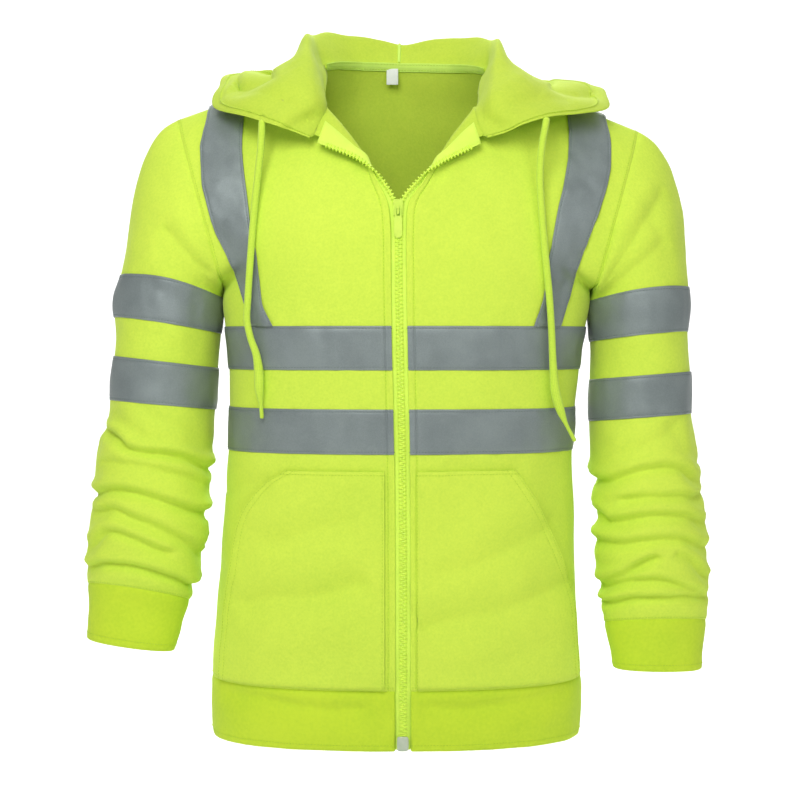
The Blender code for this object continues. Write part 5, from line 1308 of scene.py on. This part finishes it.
def make_neck_tape(chosen):
    """The tape over the neck seam inside the back, its blank label, and the taped centre seam of the hood."""
    made = cloths(chosen.fold_strength)
    back, hood = made["back_panel"], made["hood"]
    middle = slice(back.column(SHOULDER_COLUMNS) + 1, back.column(SHOULDER_COLUMNS + 2 * BACK_NECK_COLUMNS))
    seam, normals = back.points[-1, middle], back.normals[-1, middle]
    down = unit(back.points[-4, middle] - seam)
    face = seam - normals * (FLEECE + NECK_TAPE_GAP)
    out = 0.6 * bell(NECK_TAPE_LINES, 0.0, 3.2) - 0.25 * bell(np.abs(NECK_TAPE_LINES), 3.6, 0.8)
    grid = face + down * NECK_TAPE_LINES[:, None, None] - normals * out[:, None, None]
    inward = np.broadcast_to(-normals, grid.shape)
    finish_piece(shell("neck_tape", grid, inward, 0.9, finish("trim tape")), "neck_tape")
    for k in (2, -3):
        sew("lime", grid[k], inward[k])

    rows = np.linspace(2, hood.row(6), 40)[:, None]
    lean = HOOD_SEAM_LEAN[0] + HOOD_SEAM_LEAN[1] * (1 - rows / rows[-1])
    columns = hood.points.shape[1] / 2 - 0.5 + (HOOD_SEAM_LINES - lean) / np.median(np.diff(hood.u))
    points, normals = hood.at(rows, columns)
    ride(shell("hood_seam_tape", points - normals * (FLEECE + HOOD_SEAM_OUT)[..., None], -normals, 0.7,
               finish("trim tape")))

    _, depth, up = face[len(face) // 2]
    drop, x = np.meshgrid(np.linspace(1.5, LABEL_LONG, 14), np.linspace(*LABEL_X, 8), indexing="ij")
    grid = np.stack([x, depth - 1.6 - 0.9 * np.sin(drop / 6.5) - 0.25 * np.sin((x + 9) / 2.2), up - drop], axis=-1)
    label = shell("neck_label", grid, np.broadcast_to(FORWARD, grid.shape), 0.4, finish("woven label"))
    finish_piece(label, "neck_label", replaces=False)


ZIP_BOX = (2.9, -110.6, -699.5)     # its middle
ZIP_BOX_HALF = (6.2, 7.6)           # half its width and height
ZIP_BOX_CORNERS = 0.4               # how round its corners are: 0 square, 1 an oval
ZIP_BOX_SIDES = 24
ZIP_BOX_LEVELS = ((-3.2, 0.86), (-2.6, 1.0), (1.2, 1.0), (2.0, 0.84))       # out from its middle, and the size there


def make_zip_box():
    """The moulded box that holds the zip's two halves together at the bottom end."""
    turn = np.arange(ZIP_BOX_SIDES) * 2 * math.pi / ZIP_BOX_SIDES
    x, z = (np.copysign(np.abs(wave) ** ZIP_BOX_CORNERS, wave) * half
            for wave, half in zip((np.cos(turn), np.sin(turn)), ZIP_BOX_HALF))
    rings = [ZIP_BOX + np.column_stack([x * size, np.full(len(turn), -depth), z * size])
             for depth, size in ZIP_BOX_LEVELS]
    ride(solid("zip_box", rings, finish("moulded box")))


def make_cords(chosen):
    """The free ends of the hood's drawstring, each thicker at its knot above the tip."""
    for side, route in CORD_ROUTE.items():
        route = np.array(route, dtype=float)
        lengths = measured(route[:, :3])
        path = hermite(lengths, route, np.linspace(0, lengths[-1], int(lengths[-1] / 2.0) + 1))
        path, radii = path[:, :3], path[:, 3] * CORD_THICK / 2
        piece = tube("drawstring_%s_cord" % side, path, radii, finish("braided cord"))
        ride(piece, "drawstring_" + side)


# ================================================================ what repeats: stitches and teeth
TREE_NAME = "Repeat along a line"
THREAD_THICK = 0.62
# a stitch from end to end: along its length, up in threads, and the thread's size there
STITCH_BENDS = ((-0.5, -0.55, 0.35), (-0.28, 0.17, 0.95), (0.28, 0.17, 0.95), (0.5, -0.55, 0.35))
STITCH_SIDES = 5
# half the outline of a tooth, across it and from its root on the tape's cord over the neck to its head
TOOTH = ((-1.15, -2.6), (-1.15, -0.2), (-0.8, 0.5), (-1.0, 1.5), (-0.85, 2.2), (-0.45, 2.6))
TOOTH_LEVELS = ((-1.5, 0.82), (-1.2, 1.0), (1.2, 1.0), (1.5, 0.82))         # out from its middle, and its size there


def repeat_tree():
    """Geometry nodes that set one shape at even steps along lines, turned to the line and away from the cloth."""
    tree = bpy.data.node_groups.new(TREE_NAME, "GeometryNodeTree")
    for name, kind, way in (("Lines", "Geometry", "INPUT"), ("Shape", "Object", "INPUT"), ("Pitch", "Float", "INPUT"),
                            ("Finish", "Material", "INPUT"), ("Result", "Geometry", "OUTPUT")):
        tree.interface.new_socket(name, in_out=way, socket_type="NodeSocket" + kind)
    start = add(tree, "NodeGroupInput").outputs
    curve = add(tree, "GeometryNodeMeshToCurve", {0: start["Lines"]})
    even_steps = add(tree, "GeometryNodeResampleCurve", {"Curve": curve.outputs[0], "Length": start["Pitch"]},
                     mode="LENGTH")
    away = add(tree, "GeometryNodeInputNamedAttribute", {"Name": "away"}, data_type="FLOAT_VECTOR")
    turn = add(tree, "FunctionNodeAxesToRotation", {0: add(tree, "GeometryNodeInputTangent").outputs[0],
                                                    1: away.outputs[0]}, primary_axis="X", secondary_axis="Z")
    shape = add(tree, "GeometryNodeObjectInfo", {"Object": start["Shape"]})
    copies = add(tree, "GeometryNodeInstanceOnPoints", {"Points": even_steps.outputs[0], "Rotation": turn.outputs[0],
                                                        "Instance": shape.outputs["Geometry"]})
    real = add(tree, "GeometryNodeRealizeInstances", {0: copies.outputs[0]})
    painted = add(tree, "GeometryNodeSetMaterial", {"Geometry": real.outputs[0], "Material": start["Finish"]})
    add(tree, "NodeGroupOutput", {0: painted.outputs[0]})
    return tree


def repeated(name, lines, shape, pitch, look):
    """Bake the repeated shape along lines into one plain mesh."""
    counts = [len(line) for line, _ in lines]
    edges = [(k, k + 1) for k in range(sum(counts) - 1) if k + 1 not in np.cumsum(counts)]
    mesh = bpy.data.meshes.new(name + "_lines")
    mesh.from_pydata((np.concatenate([line for line, _ in lines]) * MM).tolist(), edges, [])
    away = np.concatenate([normals for _, normals in lines]).astype(np.float32)
    mesh.attributes.new("away", "FLOAT_VECTOR", "POINT").data.foreach_set("vector", away.ravel())
    carrier = bpy.data.objects.new(name + "_carrier", mesh)
    bpy.context.collection.objects.link(carrier)
    step = carrier.modifiers.new("Repeat", "NODES")
    step.node_group = bpy.data.node_groups.get(TREE_NAME) or repeat_tree()
    sockets = {item.name: item.identifier for item in step.node_group.interface.items_tree if item.in_out == "INPUT"}
    for key, value in (("Shape", shape), ("Pitch", pitch * MM), ("Finish", look)):
        step[sockets[key]] = value
    graph = bpy.context.evaluated_depsgraph_get()
    baked = bpy.data.meshes.new_from_object(carrier.evaluated_get(graph), preserve_all_data_layers=True,
                                            depsgraph=graph)
    baked.name = name
    bpy.data.objects.remove(carrier, do_unlink=True)
    if not len(baked.polygons):
        raise RuntimeError(name + " came out empty")
    baked.shade_smooth()
    item = bpy.data.objects.new(name, baked)
    bpy.context.collection.objects.link(item)
    ride(item)


def make_stitching(chosen):
    """Every stitch: a thread that comes up, runs along X and goes down."""
    turn = np.arange(STITCH_SIDES) * 2 * math.pi / STITCH_SIDES
    rings = []
    for x, z, size in STITCH_BENDS:
        y, up = (wave(turn) * THREAD_THICK * size / 2 for wave in (np.cos, np.sin))
        rings.append(np.column_stack([np.full(len(turn), x * chosen.stitch_length), y, z * THREAD_THICK + up]))
    shape = solid("stitch_shape", rings, finish("thread"), turned=True, smooth=True)
    repeated("stitching_cloth", LINES["lime"], shape, chosen.stitch_pitch, finish("thread"))
    repeated("stitching_tapes", LINES["grey"], shape, chosen.stitch_pitch, finish("grey thread"))
    bpy.data.objects.remove(shape, do_unlink=True)


def make_teeth(pitch):
    """The teeth, each turned with its head away from its own front, half a step apart on the two sides."""
    x, y = np.array(TOOTH + tuple((-x, y) for x, y in reversed(TOOTH))).T
    rings = [np.column_stack([x * size, y * np.where(y > 0, size, 1.0), np.full(len(x), z)])
             for z, size in TOOTH_LEVELS]
    shape = solid("tooth_shape", rings, finish("moulded teeth"), turned=True)
    lines = []
    for points, normals, heads, shift in LINES["teeth"]:
        lengths = measured(points)
        steps = np.arange(shift + 1.0, lengths[-1] - 1.0, pitch)
        line, out, head = (read(values, lengths, steps) for values in (points, normals, heads))
        out, head = unit(out), unit(head)
        # the shape's head is along Y: a line that runs the other way turns it over
        if np.sum(np.cross(out, unit(np.gradient(line, axis=0))) * head) < 0:
            line, out = line[::-1], out[::-1]
        lines.append((line, out))
    repeated("zip_teeth", lines, shape, pitch, finish("moulded teeth"))
    bpy.data.objects.remove(shape, do_unlink=True)


def make_zip(chosen):
    """The zip: its tapes, teeth and box, and the finish of its slider and pull."""
    make_zip_tapes(chosen)
    make_teeth(chosen.tooth_pitch)
    make_zip_box()
    for node, key in (("zip_slider", "painted slider"), ("zip_pull", "moulded pull")):
        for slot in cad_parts[node].material_slots:
            slot.material = finish(key)


# ================================================================ finishes
def rgb(text):
    """A colour from its sRGB hex value, as linear numbers."""
    values = [int(text[k:k + 2], 16) / 255 for k in (0, 2, 4)]
    return tuple(v / 12.92 if v <= 0.04045 else ((v + 0.055) / 1.055) ** 2.4 for v in values) + (1.0,)


def feed(node, inputs):
    """Give a node's inputs, by name or number, their values or the outputs that they follow."""
    for key, value in inputs.items():
        if isinstance(value, bpy.types.NodeSocket):
            node.id_data.links.new(value, node.inputs[key])
        else:
            node.inputs[key].default_value = value


def add(tree, kind, inputs=None, **settings):
    """Add a node with its settings and inputs."""
    node = tree.nodes.new(kind)
    for key, value in settings.items():
        setattr(node, key, value)
    feed(node, inputs or {})
    return node


def blank(name):
    """A new material with a Principled shader, and its tree."""
    made = bpy.data.materials.new(name)
    made.use_nodes = True
    tree = made.node_tree
    tree.nodes.clear()
    shader = add(tree, "ShaderNodeBsdfPrincipled")
    add(tree, "ShaderNodeOutputMaterial", {"Surface": shader.outputs[0]})
    return made, tree, shader


def deeper(amount):
    """A deeper tone and the plain one: greens fall less than reds, as in a fluorescent dye."""
    return (amount, amount * 0.55 + 0.45, amount), (1.0, 1.0, 1.0)


def textured(name, colour, noises, tone, ends, tones, values, rough=None, relief=None, threads=(), slant=0.0):
    """A material whose colour, gloss and relief follow its noises and its threads, which are layers from 0 to 1.

    noises: the size in mm of each one's lumps, its detail and its roughness.
    threads: their spacing across and along in mm, turned by slant; they give the layers warp, weft and both.
    tone: the weights of the layers that lead, between the two ends, from the deep tone to the pale one.
    rough: a layer and the roughness that it leads between. relief: the layers' weights, the depth in mm, the strength.
    """
    made, tree, shader = blank(name)
    place = add(tree, "ShaderNodeTexCoord").outputs["Object"]
    layers = {key: add(tree, "ShaderNodeTexNoise", {"Vector": place, "Scale": 0.6 / (size * MM), "Detail": detail,
                                                    "Roughness": roughness}).outputs[0]
              for key, (size, detail, roughness) in noises.items()}
    if threads:
        flat = add(tree, "ShaderNodeUVMap", uv_map="cloth").outputs[0]
        turned = add(tree, "ShaderNodeMapping", {"Vector": flat, "Rotation": (0.0, 0.0, math.radians(slant))})
        axes = add(tree, "ShaderNodeSeparateXYZ", {0: turned.outputs[0]}).outputs
        waves = []
        for axis, spacing in enumerate(threads):
            turn = add(tree, "ShaderNodeMath", {0: axes[axis], 1: 2 * math.pi / (spacing * MM)}, operation="MULTIPLY")
            waves.append(add(tree, "ShaderNodeMath", {0: turn.outputs[0]}, operation="SINE").outputs[0])
        waves.append(add(tree, "ShaderNodeMath", dict(enumerate(waves)), operation="MULTIPLY").outputs[0])
        for key, wave in zip(("warp", "weft", "both"), waves):
            layers[key] = add(tree, "ShaderNodeMapRange", {0: wave, 1: -1.0, 2: 1.0}).outputs[0]

    def weighed(weights):
        total = 0.0
        for key, weight in weights.items():
            part = add(tree, "ShaderNodeMath", {0: layers[key], 1: weight, 2: total}, operation="MULTIPLY_ADD")
            total = part.outputs[0]
        return total

    factor = add(tree, "ShaderNodeMapRange", {0: weighed(tone), 1: ends[0], 2: ends[1]}).outputs[0]
    deep, pale = (tuple(c * m for c, m in zip(colour, shade)) + (1.0,) for shade in tones)
    mix = add(tree, "ShaderNodeMix", {0: factor, 6: deep, 7: pale}, data_type="RGBA")
    feed(shader, {"Base Color": mix.outputs[2], **values})
    if rough:
        key, low, high = rough
        ranged = add(tree, "ShaderNodeMapRange", {0: layers[key], 1: 0.3, 2: 0.7, 3: low, 4: high})
        feed(shader, {"Roughness": ranged.outputs[0]})
    if relief:
        weights, depth, strength = relief
        bump = add(tree, "ShaderNodeBump", {"Height": weighed(weights), "Distance": depth * MM, "Strength": strength})
        feed(shader, {"Normal": bump.outputs[0]})
    return made


SHEEN_TINT = (0.86, 1.0, 0.45, 1.0)
# Brushed polyester fleece: matte, a short nap that clumps and catches light at grazing angles. Its fibres are far
# finer than the picture shows, so its clumps are drawn at 1.6 mm and 5 mm.
FLEECE_LOOK = dict(
    noises={"nap": (1.6, 3.0, 0.6), "clumps": (5.0, 2.0, 0.5), "broad": (70.0, 2.0, 0.5)},
    tone={"nap": 0.55, "clumps": 0.15, "broad": 0.30}, ends=(0.36, 0.62), tones=deeper(0.86),
    rough=("clumps", 0.86, 0.97), relief=({"nap": 0.7, "clumps": 0.5}, 0.55, 0.75),
    values={"Sheen Weight": 0.30, "Sheen Roughness": 0.45, "Specular IOR Level": 0.18, "IOR": 1.45,
            "Sheen Tint": SHEEN_TINT})
# Fine doubled knit of the cuffs and hem: matte, its ribs, 1.3 mm apart, only just show as upright lines.
RIB_LOOK = dict(
    noises={"nap": (2.2, 2.0, 0.5), "broad": (40.0, 2.0, 0.5)}, threads=(1.3, 1.5),
    tone={"warp": 0.12, "nap": 0.38, "broad": 0.50}, ends=(0.32, 0.62), tones=deeper(0.82),
    relief=({"warp": 0.4, "both": 0.12, "nap": 0.5}, 0.2, 0.6),
    values={"Roughness": 0.9, "Sheen Weight": 0.18, "Sheen Roughness": 0.5, "Specular IOR Level": 0.2,
            "Sheen Tint": SHEEN_TINT})
# Glass-bead reflective tape on a polyester backing: silver grey, satin, with a fine grid of threads. They are 0.4 mm
# apart in the real tape and are drawn at 0.9 mm, so that they show.
REFLECTIVE_LOOK = dict(
    noises={"beads": (1.0, 2.0, 0.7), "rubbed": (28.0, 3.0, 0.6)}, threads=(0.9, 0.9),
    tone={"both": 0.22, "beads": 0.30, "rubbed": 0.48}, ends=(0.34, 0.64),
    tones=((0.80, 0.81, 0.82), (1.12, 1.12, 1.12)), rough=("rubbed", 0.40, 0.52),
    relief=({"warp": 0.3, "weft": 0.3, "rubbed": 0.6, "beads": 0.3}, 0.25, 0.5),
    values={"Metallic": 0.25, "Specular IOR Level": 0.45})
# Braided polyester cord: strands cross at a slant, about 2.2 mm apart along it, with a soft fuzz.
BRAID_LOOK = dict(
    noises={"fuzz": (1.4, 3.0, 0.5)}, threads=(2.2, 2.2), slant=45.0, tone={"both": 0.6, "fuzz": 0.4}, ends=(0.2, 0.6),
    tones=deeper(0.74), relief=({"both": 0.8, "fuzz": 0.3}, 0.45, 0.8),
    values={"Roughness": 0.8, "Sheen Weight": 0.2, "Specular IOR Level": 0.25})
# Twisted polyester thread: a little shinier than the cloth.
THREAD_LOOK = dict(
    noises={"twist": (0.7, 2.0, 0.5)}, tone={"twist": 1.0}, ends=(0.35, 0.65), tones=deeper(0.75),
    values={"Roughness": 0.55, "Specular IOR Level": 0.4})


def woven(across, along, depth, roughness):
    """A woven narrow cloth: threads across each other, with painted shade that darkens the colour between them."""
    return dict(noises={"wear": (9.0, 3.0, 0.5)}, threads=(across, along), tone={"both": 0.45, "wear": 0.55},
                ends=(0.25, 0.65), tones=deeper(0.82), relief=({"both": 0.6, "wear": 0.4}, depth, 0.7),
                values={"Roughness": roughness, "Sheen Weight": 0.1, "Specular IOR Level": 0.25})


def moulded(roughness):
    """Moulded acetal or painted zinc: even colour, slightly glossy, a fine grain and paler handled edges."""
    return dict(noises={"grit": (0.8, 2.0, 0.5), "handled": (5.0, 2.0, 0.5)}, tone={"handled": 1.0}, ends=(0.35, 0.7),
                tones=deeper(0.86), rough=("handled", roughness - 0.06, roughness + 0.08),
                relief=({"grit": 1.0}, 0.05, 0.4), values={})


# every finish of the jacket: the material's name, its colour and its look
FINISHES = {
    "fleece": ("fleece", "D8F054", FLEECE_LOOK),
    # a darker green for the inner faces: painted shade that stands in for the shade inside the hood, the neck and the
    # lapels
    "fleece reverse": ("fleece reverse side, painted shade", "C8DE4C", FLEECE_LOOK),
    "rib": ("rib knit", "CEE83A", RIB_LOOK),
    "reflective tape": ("glass bead reflective tape", "879190", REFLECTIVE_LOOK),
    "trim tape": ("herringbone trim tape", "E0FF78", woven(1.4, 1.8, 0.25, 0.75)),
    "zip tape": ("woven zip tape", "E4FF62", woven(1.2, 1.0, 0.2, 0.7)),
    "woven label": ("woven satin label", "F2F2F0", woven(0.9, 0.7, 0.12, 0.5)),
    "braided cord": ("braided cord", "D2F04E", BRAID_LOOK),
    "moulded teeth": ("moulded acetal teeth", "E2FF50", moulded(0.38)),
    "painted slider": ("painted zinc slider", "DAF45A", moulded(0.35)),
    "moulded box": ("moulded zip box", "C4CCB8", moulded(0.4)),
    "moulded pull": ("moulded pull", "DAF45A", moulded(0.42)),
    "thread": ("polyester thread", "C4E23C", THREAD_LOOK),
    "grey thread": ("grey polyester thread", "7C8686", THREAD_LOOK),
}


@functools.lru_cache(maxsize=None)
def finish(key):
    """A finish by its key, made once."""
    name, colour, look = FINISHES[key]
    chosen = {"fleece": settings().cloth_colour, "reflective tape": settings().tape_colour}
    return textured(name, chosen.get(key) or rgb(colour), **look)


# ================================================================ the studio
CAMERA = (0.0, -2.0, -0.268)
CAMERA_SHIFT = -62 / 800.0          # the jacket's middle is above the picture's
FLOOR_Z = -0.900
FLOOR_HALF, FLOOR_FRONT, BACKDROP_TOP = 14.0, -14.0, 6.0
CURVE_START, CURVE_RADIUS = 4.6, 1.4
AMBIENT = 0.31
LIGHTS = (
    # name             at                   towards            size  watts
    ("key_light", (-0.35, -1.45, 0.75), (0.0, 0.0, -0.15), 0.9, 18.5),
    ("fill_light", (1.0, -1.6, 0.6), (0.0, 0.0, -0.2), 1.0, 5.0),
    ("top_light", (0.0, 0.1, 2.0), (0.0, 0.0, -0.3), 1.6, 7.5),
    ("back_light", (0.0, 2.2, 1.4), (0.0, 0.0, -0.3), 1.6, 9.0),
    ("floor_light", (0.0, 1.3, 0.5), (0.0, 0.7, -0.9), 1.6, 19.0),
    ("backdrop_light", (0.0, 3.2, 2.6), (0.0, 5.6, -0.7), 3.0, 150.0),
)


def make_studio(chosen):
    """A pale floor that curves up into a backdrop, large soft lights and the camera."""
    scene = bpy.context.scene
    data = bpy.data.cameras.new("camera")
    data.lens, data.sensor_width, data.shift_y, data.clip_end = 80.0, 36.0, CAMERA_SHIFT, 30.0
    camera = bpy.data.objects.new("camera", data)
    camera.location = CAMERA
    camera.rotation_euler = (math.pi / 2, 0.0, 0.0)
    scene.collection.objects.link(camera)
    scene.camera = camera

    turns = np.linspace(0.0, math.pi / 2, 15)
    profile = [(FLOOR_FRONT, 0.0), *((CURVE_START + CURVE_RADIUS * math.sin(a), CURVE_RADIUS * (1 - math.cos(a)))
                                     for a in turns), (CURVE_START + CURVE_RADIUS, BACKDROP_TOP)]
    points = [(x, y, FLOOR_Z + z) for x in (-FLOOR_HALF, FLOOR_HALF) for y, z in profile]
    count = len(profile)
    faces = [[k, count + k, count + k + 1, k + 1] for k in range(count - 1)]
    paper, _, shader = blank("matt studio paper")
    feed(shader, {"Base Color": rgb("FFFFFF"), "Roughness": 0.9})
    mesh_object("studio_floor", points, faces, paper)

    world = bpy.data.worlds.new("studio")
    world.use_nodes = True
    feed(world.node_tree.nodes["Background"], {"Color": (1.0, 1.0, 1.0, 1.0), "Strength": AMBIENT})
    scene.world = world
    for name, place, target, size, power in LIGHTS:
        light = bpy.data.lights.new(name, "AREA")
        light.size, light.energy = size, power
        lamp = bpy.data.objects.new(name, light)
        lamp.location = place
        x, y, z = np.array(target) - np.array(place)
        lamp.rotation_euler = (math.atan2(math.hypot(x, y), -z), 0.0, math.atan2(y, x) - math.pi / 2)
        lamp.visible_camera = False
        scene.collection.objects.link(lamp)
    scene.view_settings.view_transform = "Standard"


# ================================================================ the add-on
def colour_property(name, description, key):
    return FloatVectorProperty(name=name, description=description, subtype="COLOR", size=3, min=0.0, max=1.0,
                               default=rgb(FINISHES[key][1])[:3])


class JacketSettings(bpy.types.PropertyGroup):
    """What a user would change."""
    cloth_colour: colour_property("Cloth colour", "Colour of the fleece", "fleece")
    tape_colour: colour_property("Tape colour", "Colour of the reflective tapes", "reflective tape")
    fold_strength: FloatProperty(name="Fold strength", description="Depth of the folds, 1 as photographed",
                                 default=1.0, min=0.0, max=1.3)
    stitch_pitch: FloatProperty(name="Stitch pitch", description="From one stitch to the next, mm", default=3.4,
                                min=2.0, max=6.0)
    stitch_length: FloatProperty(name="Stitch length", description="Length of one stitch, mm", default=2.6,
                                 min=1.0, max=5.0)
    tooth_pitch: FloatProperty(name="Tooth pitch", description="From one tooth to the next on one side, mm",
                               default=4.2, min=2.0, max=6.0)


def settings():
    return bpy.context.scene.jacket


class Step:
    """What the operators share: each builds its pieces from the settings."""

    def execute(self, context):
        self.build(settings())
        return {"FINISHED"}


class JACKET_OT_studio(Step, bpy.types.Operator):
    """Set up the floor, the lights and the camera"""
    bl_idname, bl_label, build = "jacket.studio", "Studio", staticmethod(make_studio)


class JACKET_OT_cords(Step, bpy.types.Operator):
    """Make the two ends of the drawstring"""
    bl_idname, bl_label, build = "jacket.cords", "Drawstrings", staticmethod(make_cords)


class JACKET_OT_panels(Step, bpy.types.Operator):
    """Make the fronts, back, sleeves, hood, cuffs and hem band"""
    bl_idname, bl_label, build = "jacket.panels", "Panels", staticmethod(make_panels)


class JACKET_OT_pockets(Step, bpy.types.Operator):
    """Make the two front pockets"""
    bl_idname, bl_label, build = "jacket.pockets", "Pockets", staticmethod(make_pockets)


class JACKET_OT_tapes(Step, bpy.types.Operator):
    """Make the reflective bands and braces"""
    bl_idname, bl_label, build = "jacket.tapes", "Reflective tapes", staticmethod(make_tapes)


class JACKET_OT_zip(Step, bpy.types.Operator):
    """Make the zip's tapes, teeth and box and finish its slider and pull"""
    bl_idname, bl_label, build = "jacket.zip", "Zip", staticmethod(make_zip)


class JACKET_OT_neck(Step, bpy.types.Operator):
    """Make the tapes and the blank label inside the neck and the hood"""
    bl_idname, bl_label, build = "jacket.neck", "Neck tape and label", staticmethod(make_neck_tape)


class JACKET_OT_stitching(Step, bpy.types.Operator):
    """Make the stitches along everything that is sewn"""
    bl_idname, bl_label, build = "jacket.stitching", "Stitching", staticmethod(make_stitching)


OPERATORS = (JACKET_OT_studio, JACKET_OT_cords, JACKET_OT_panels, JACKET_OT_pockets, JACKET_OT_tapes, JACKET_OT_zip,
             JACKET_OT_neck, JACKET_OT_stitching)


class JACKET_PT_panel(bpy.types.Panel):
    """The jacket's settings and steps"""
    bl_idname, bl_label = "JACKET_PT_panel", "Reflective hooded jacket"
    bl_space_type, bl_region_type, bl_category = "VIEW_3D", "UI", "Jacket"

    def draw(self, context):
        for name in JacketSettings.__annotations__:
            self.layout.prop(settings(), name)
        for operator in OPERATORS:
            self.layout.operator(operator.bl_idname)


CLASSES = (JacketSettings, *OPERATORS, JACKET_PT_panel)


def register():
    for made in CLASSES:
        bpy.utils.register_class(made)
    bpy.types.Scene.jacket = PointerProperty(type=JacketSettings)


def unregister():
    del bpy.types.Scene.jacket
    for made in reversed(CLASSES):
        bpy.utils.unregister_class(made)


def main():
    register()
    for operator in OPERATORS:
        getattr(bpy.ops.jacket, operator.bl_idname.split(".")[1])()


if __name__ == "__main__":
    main()
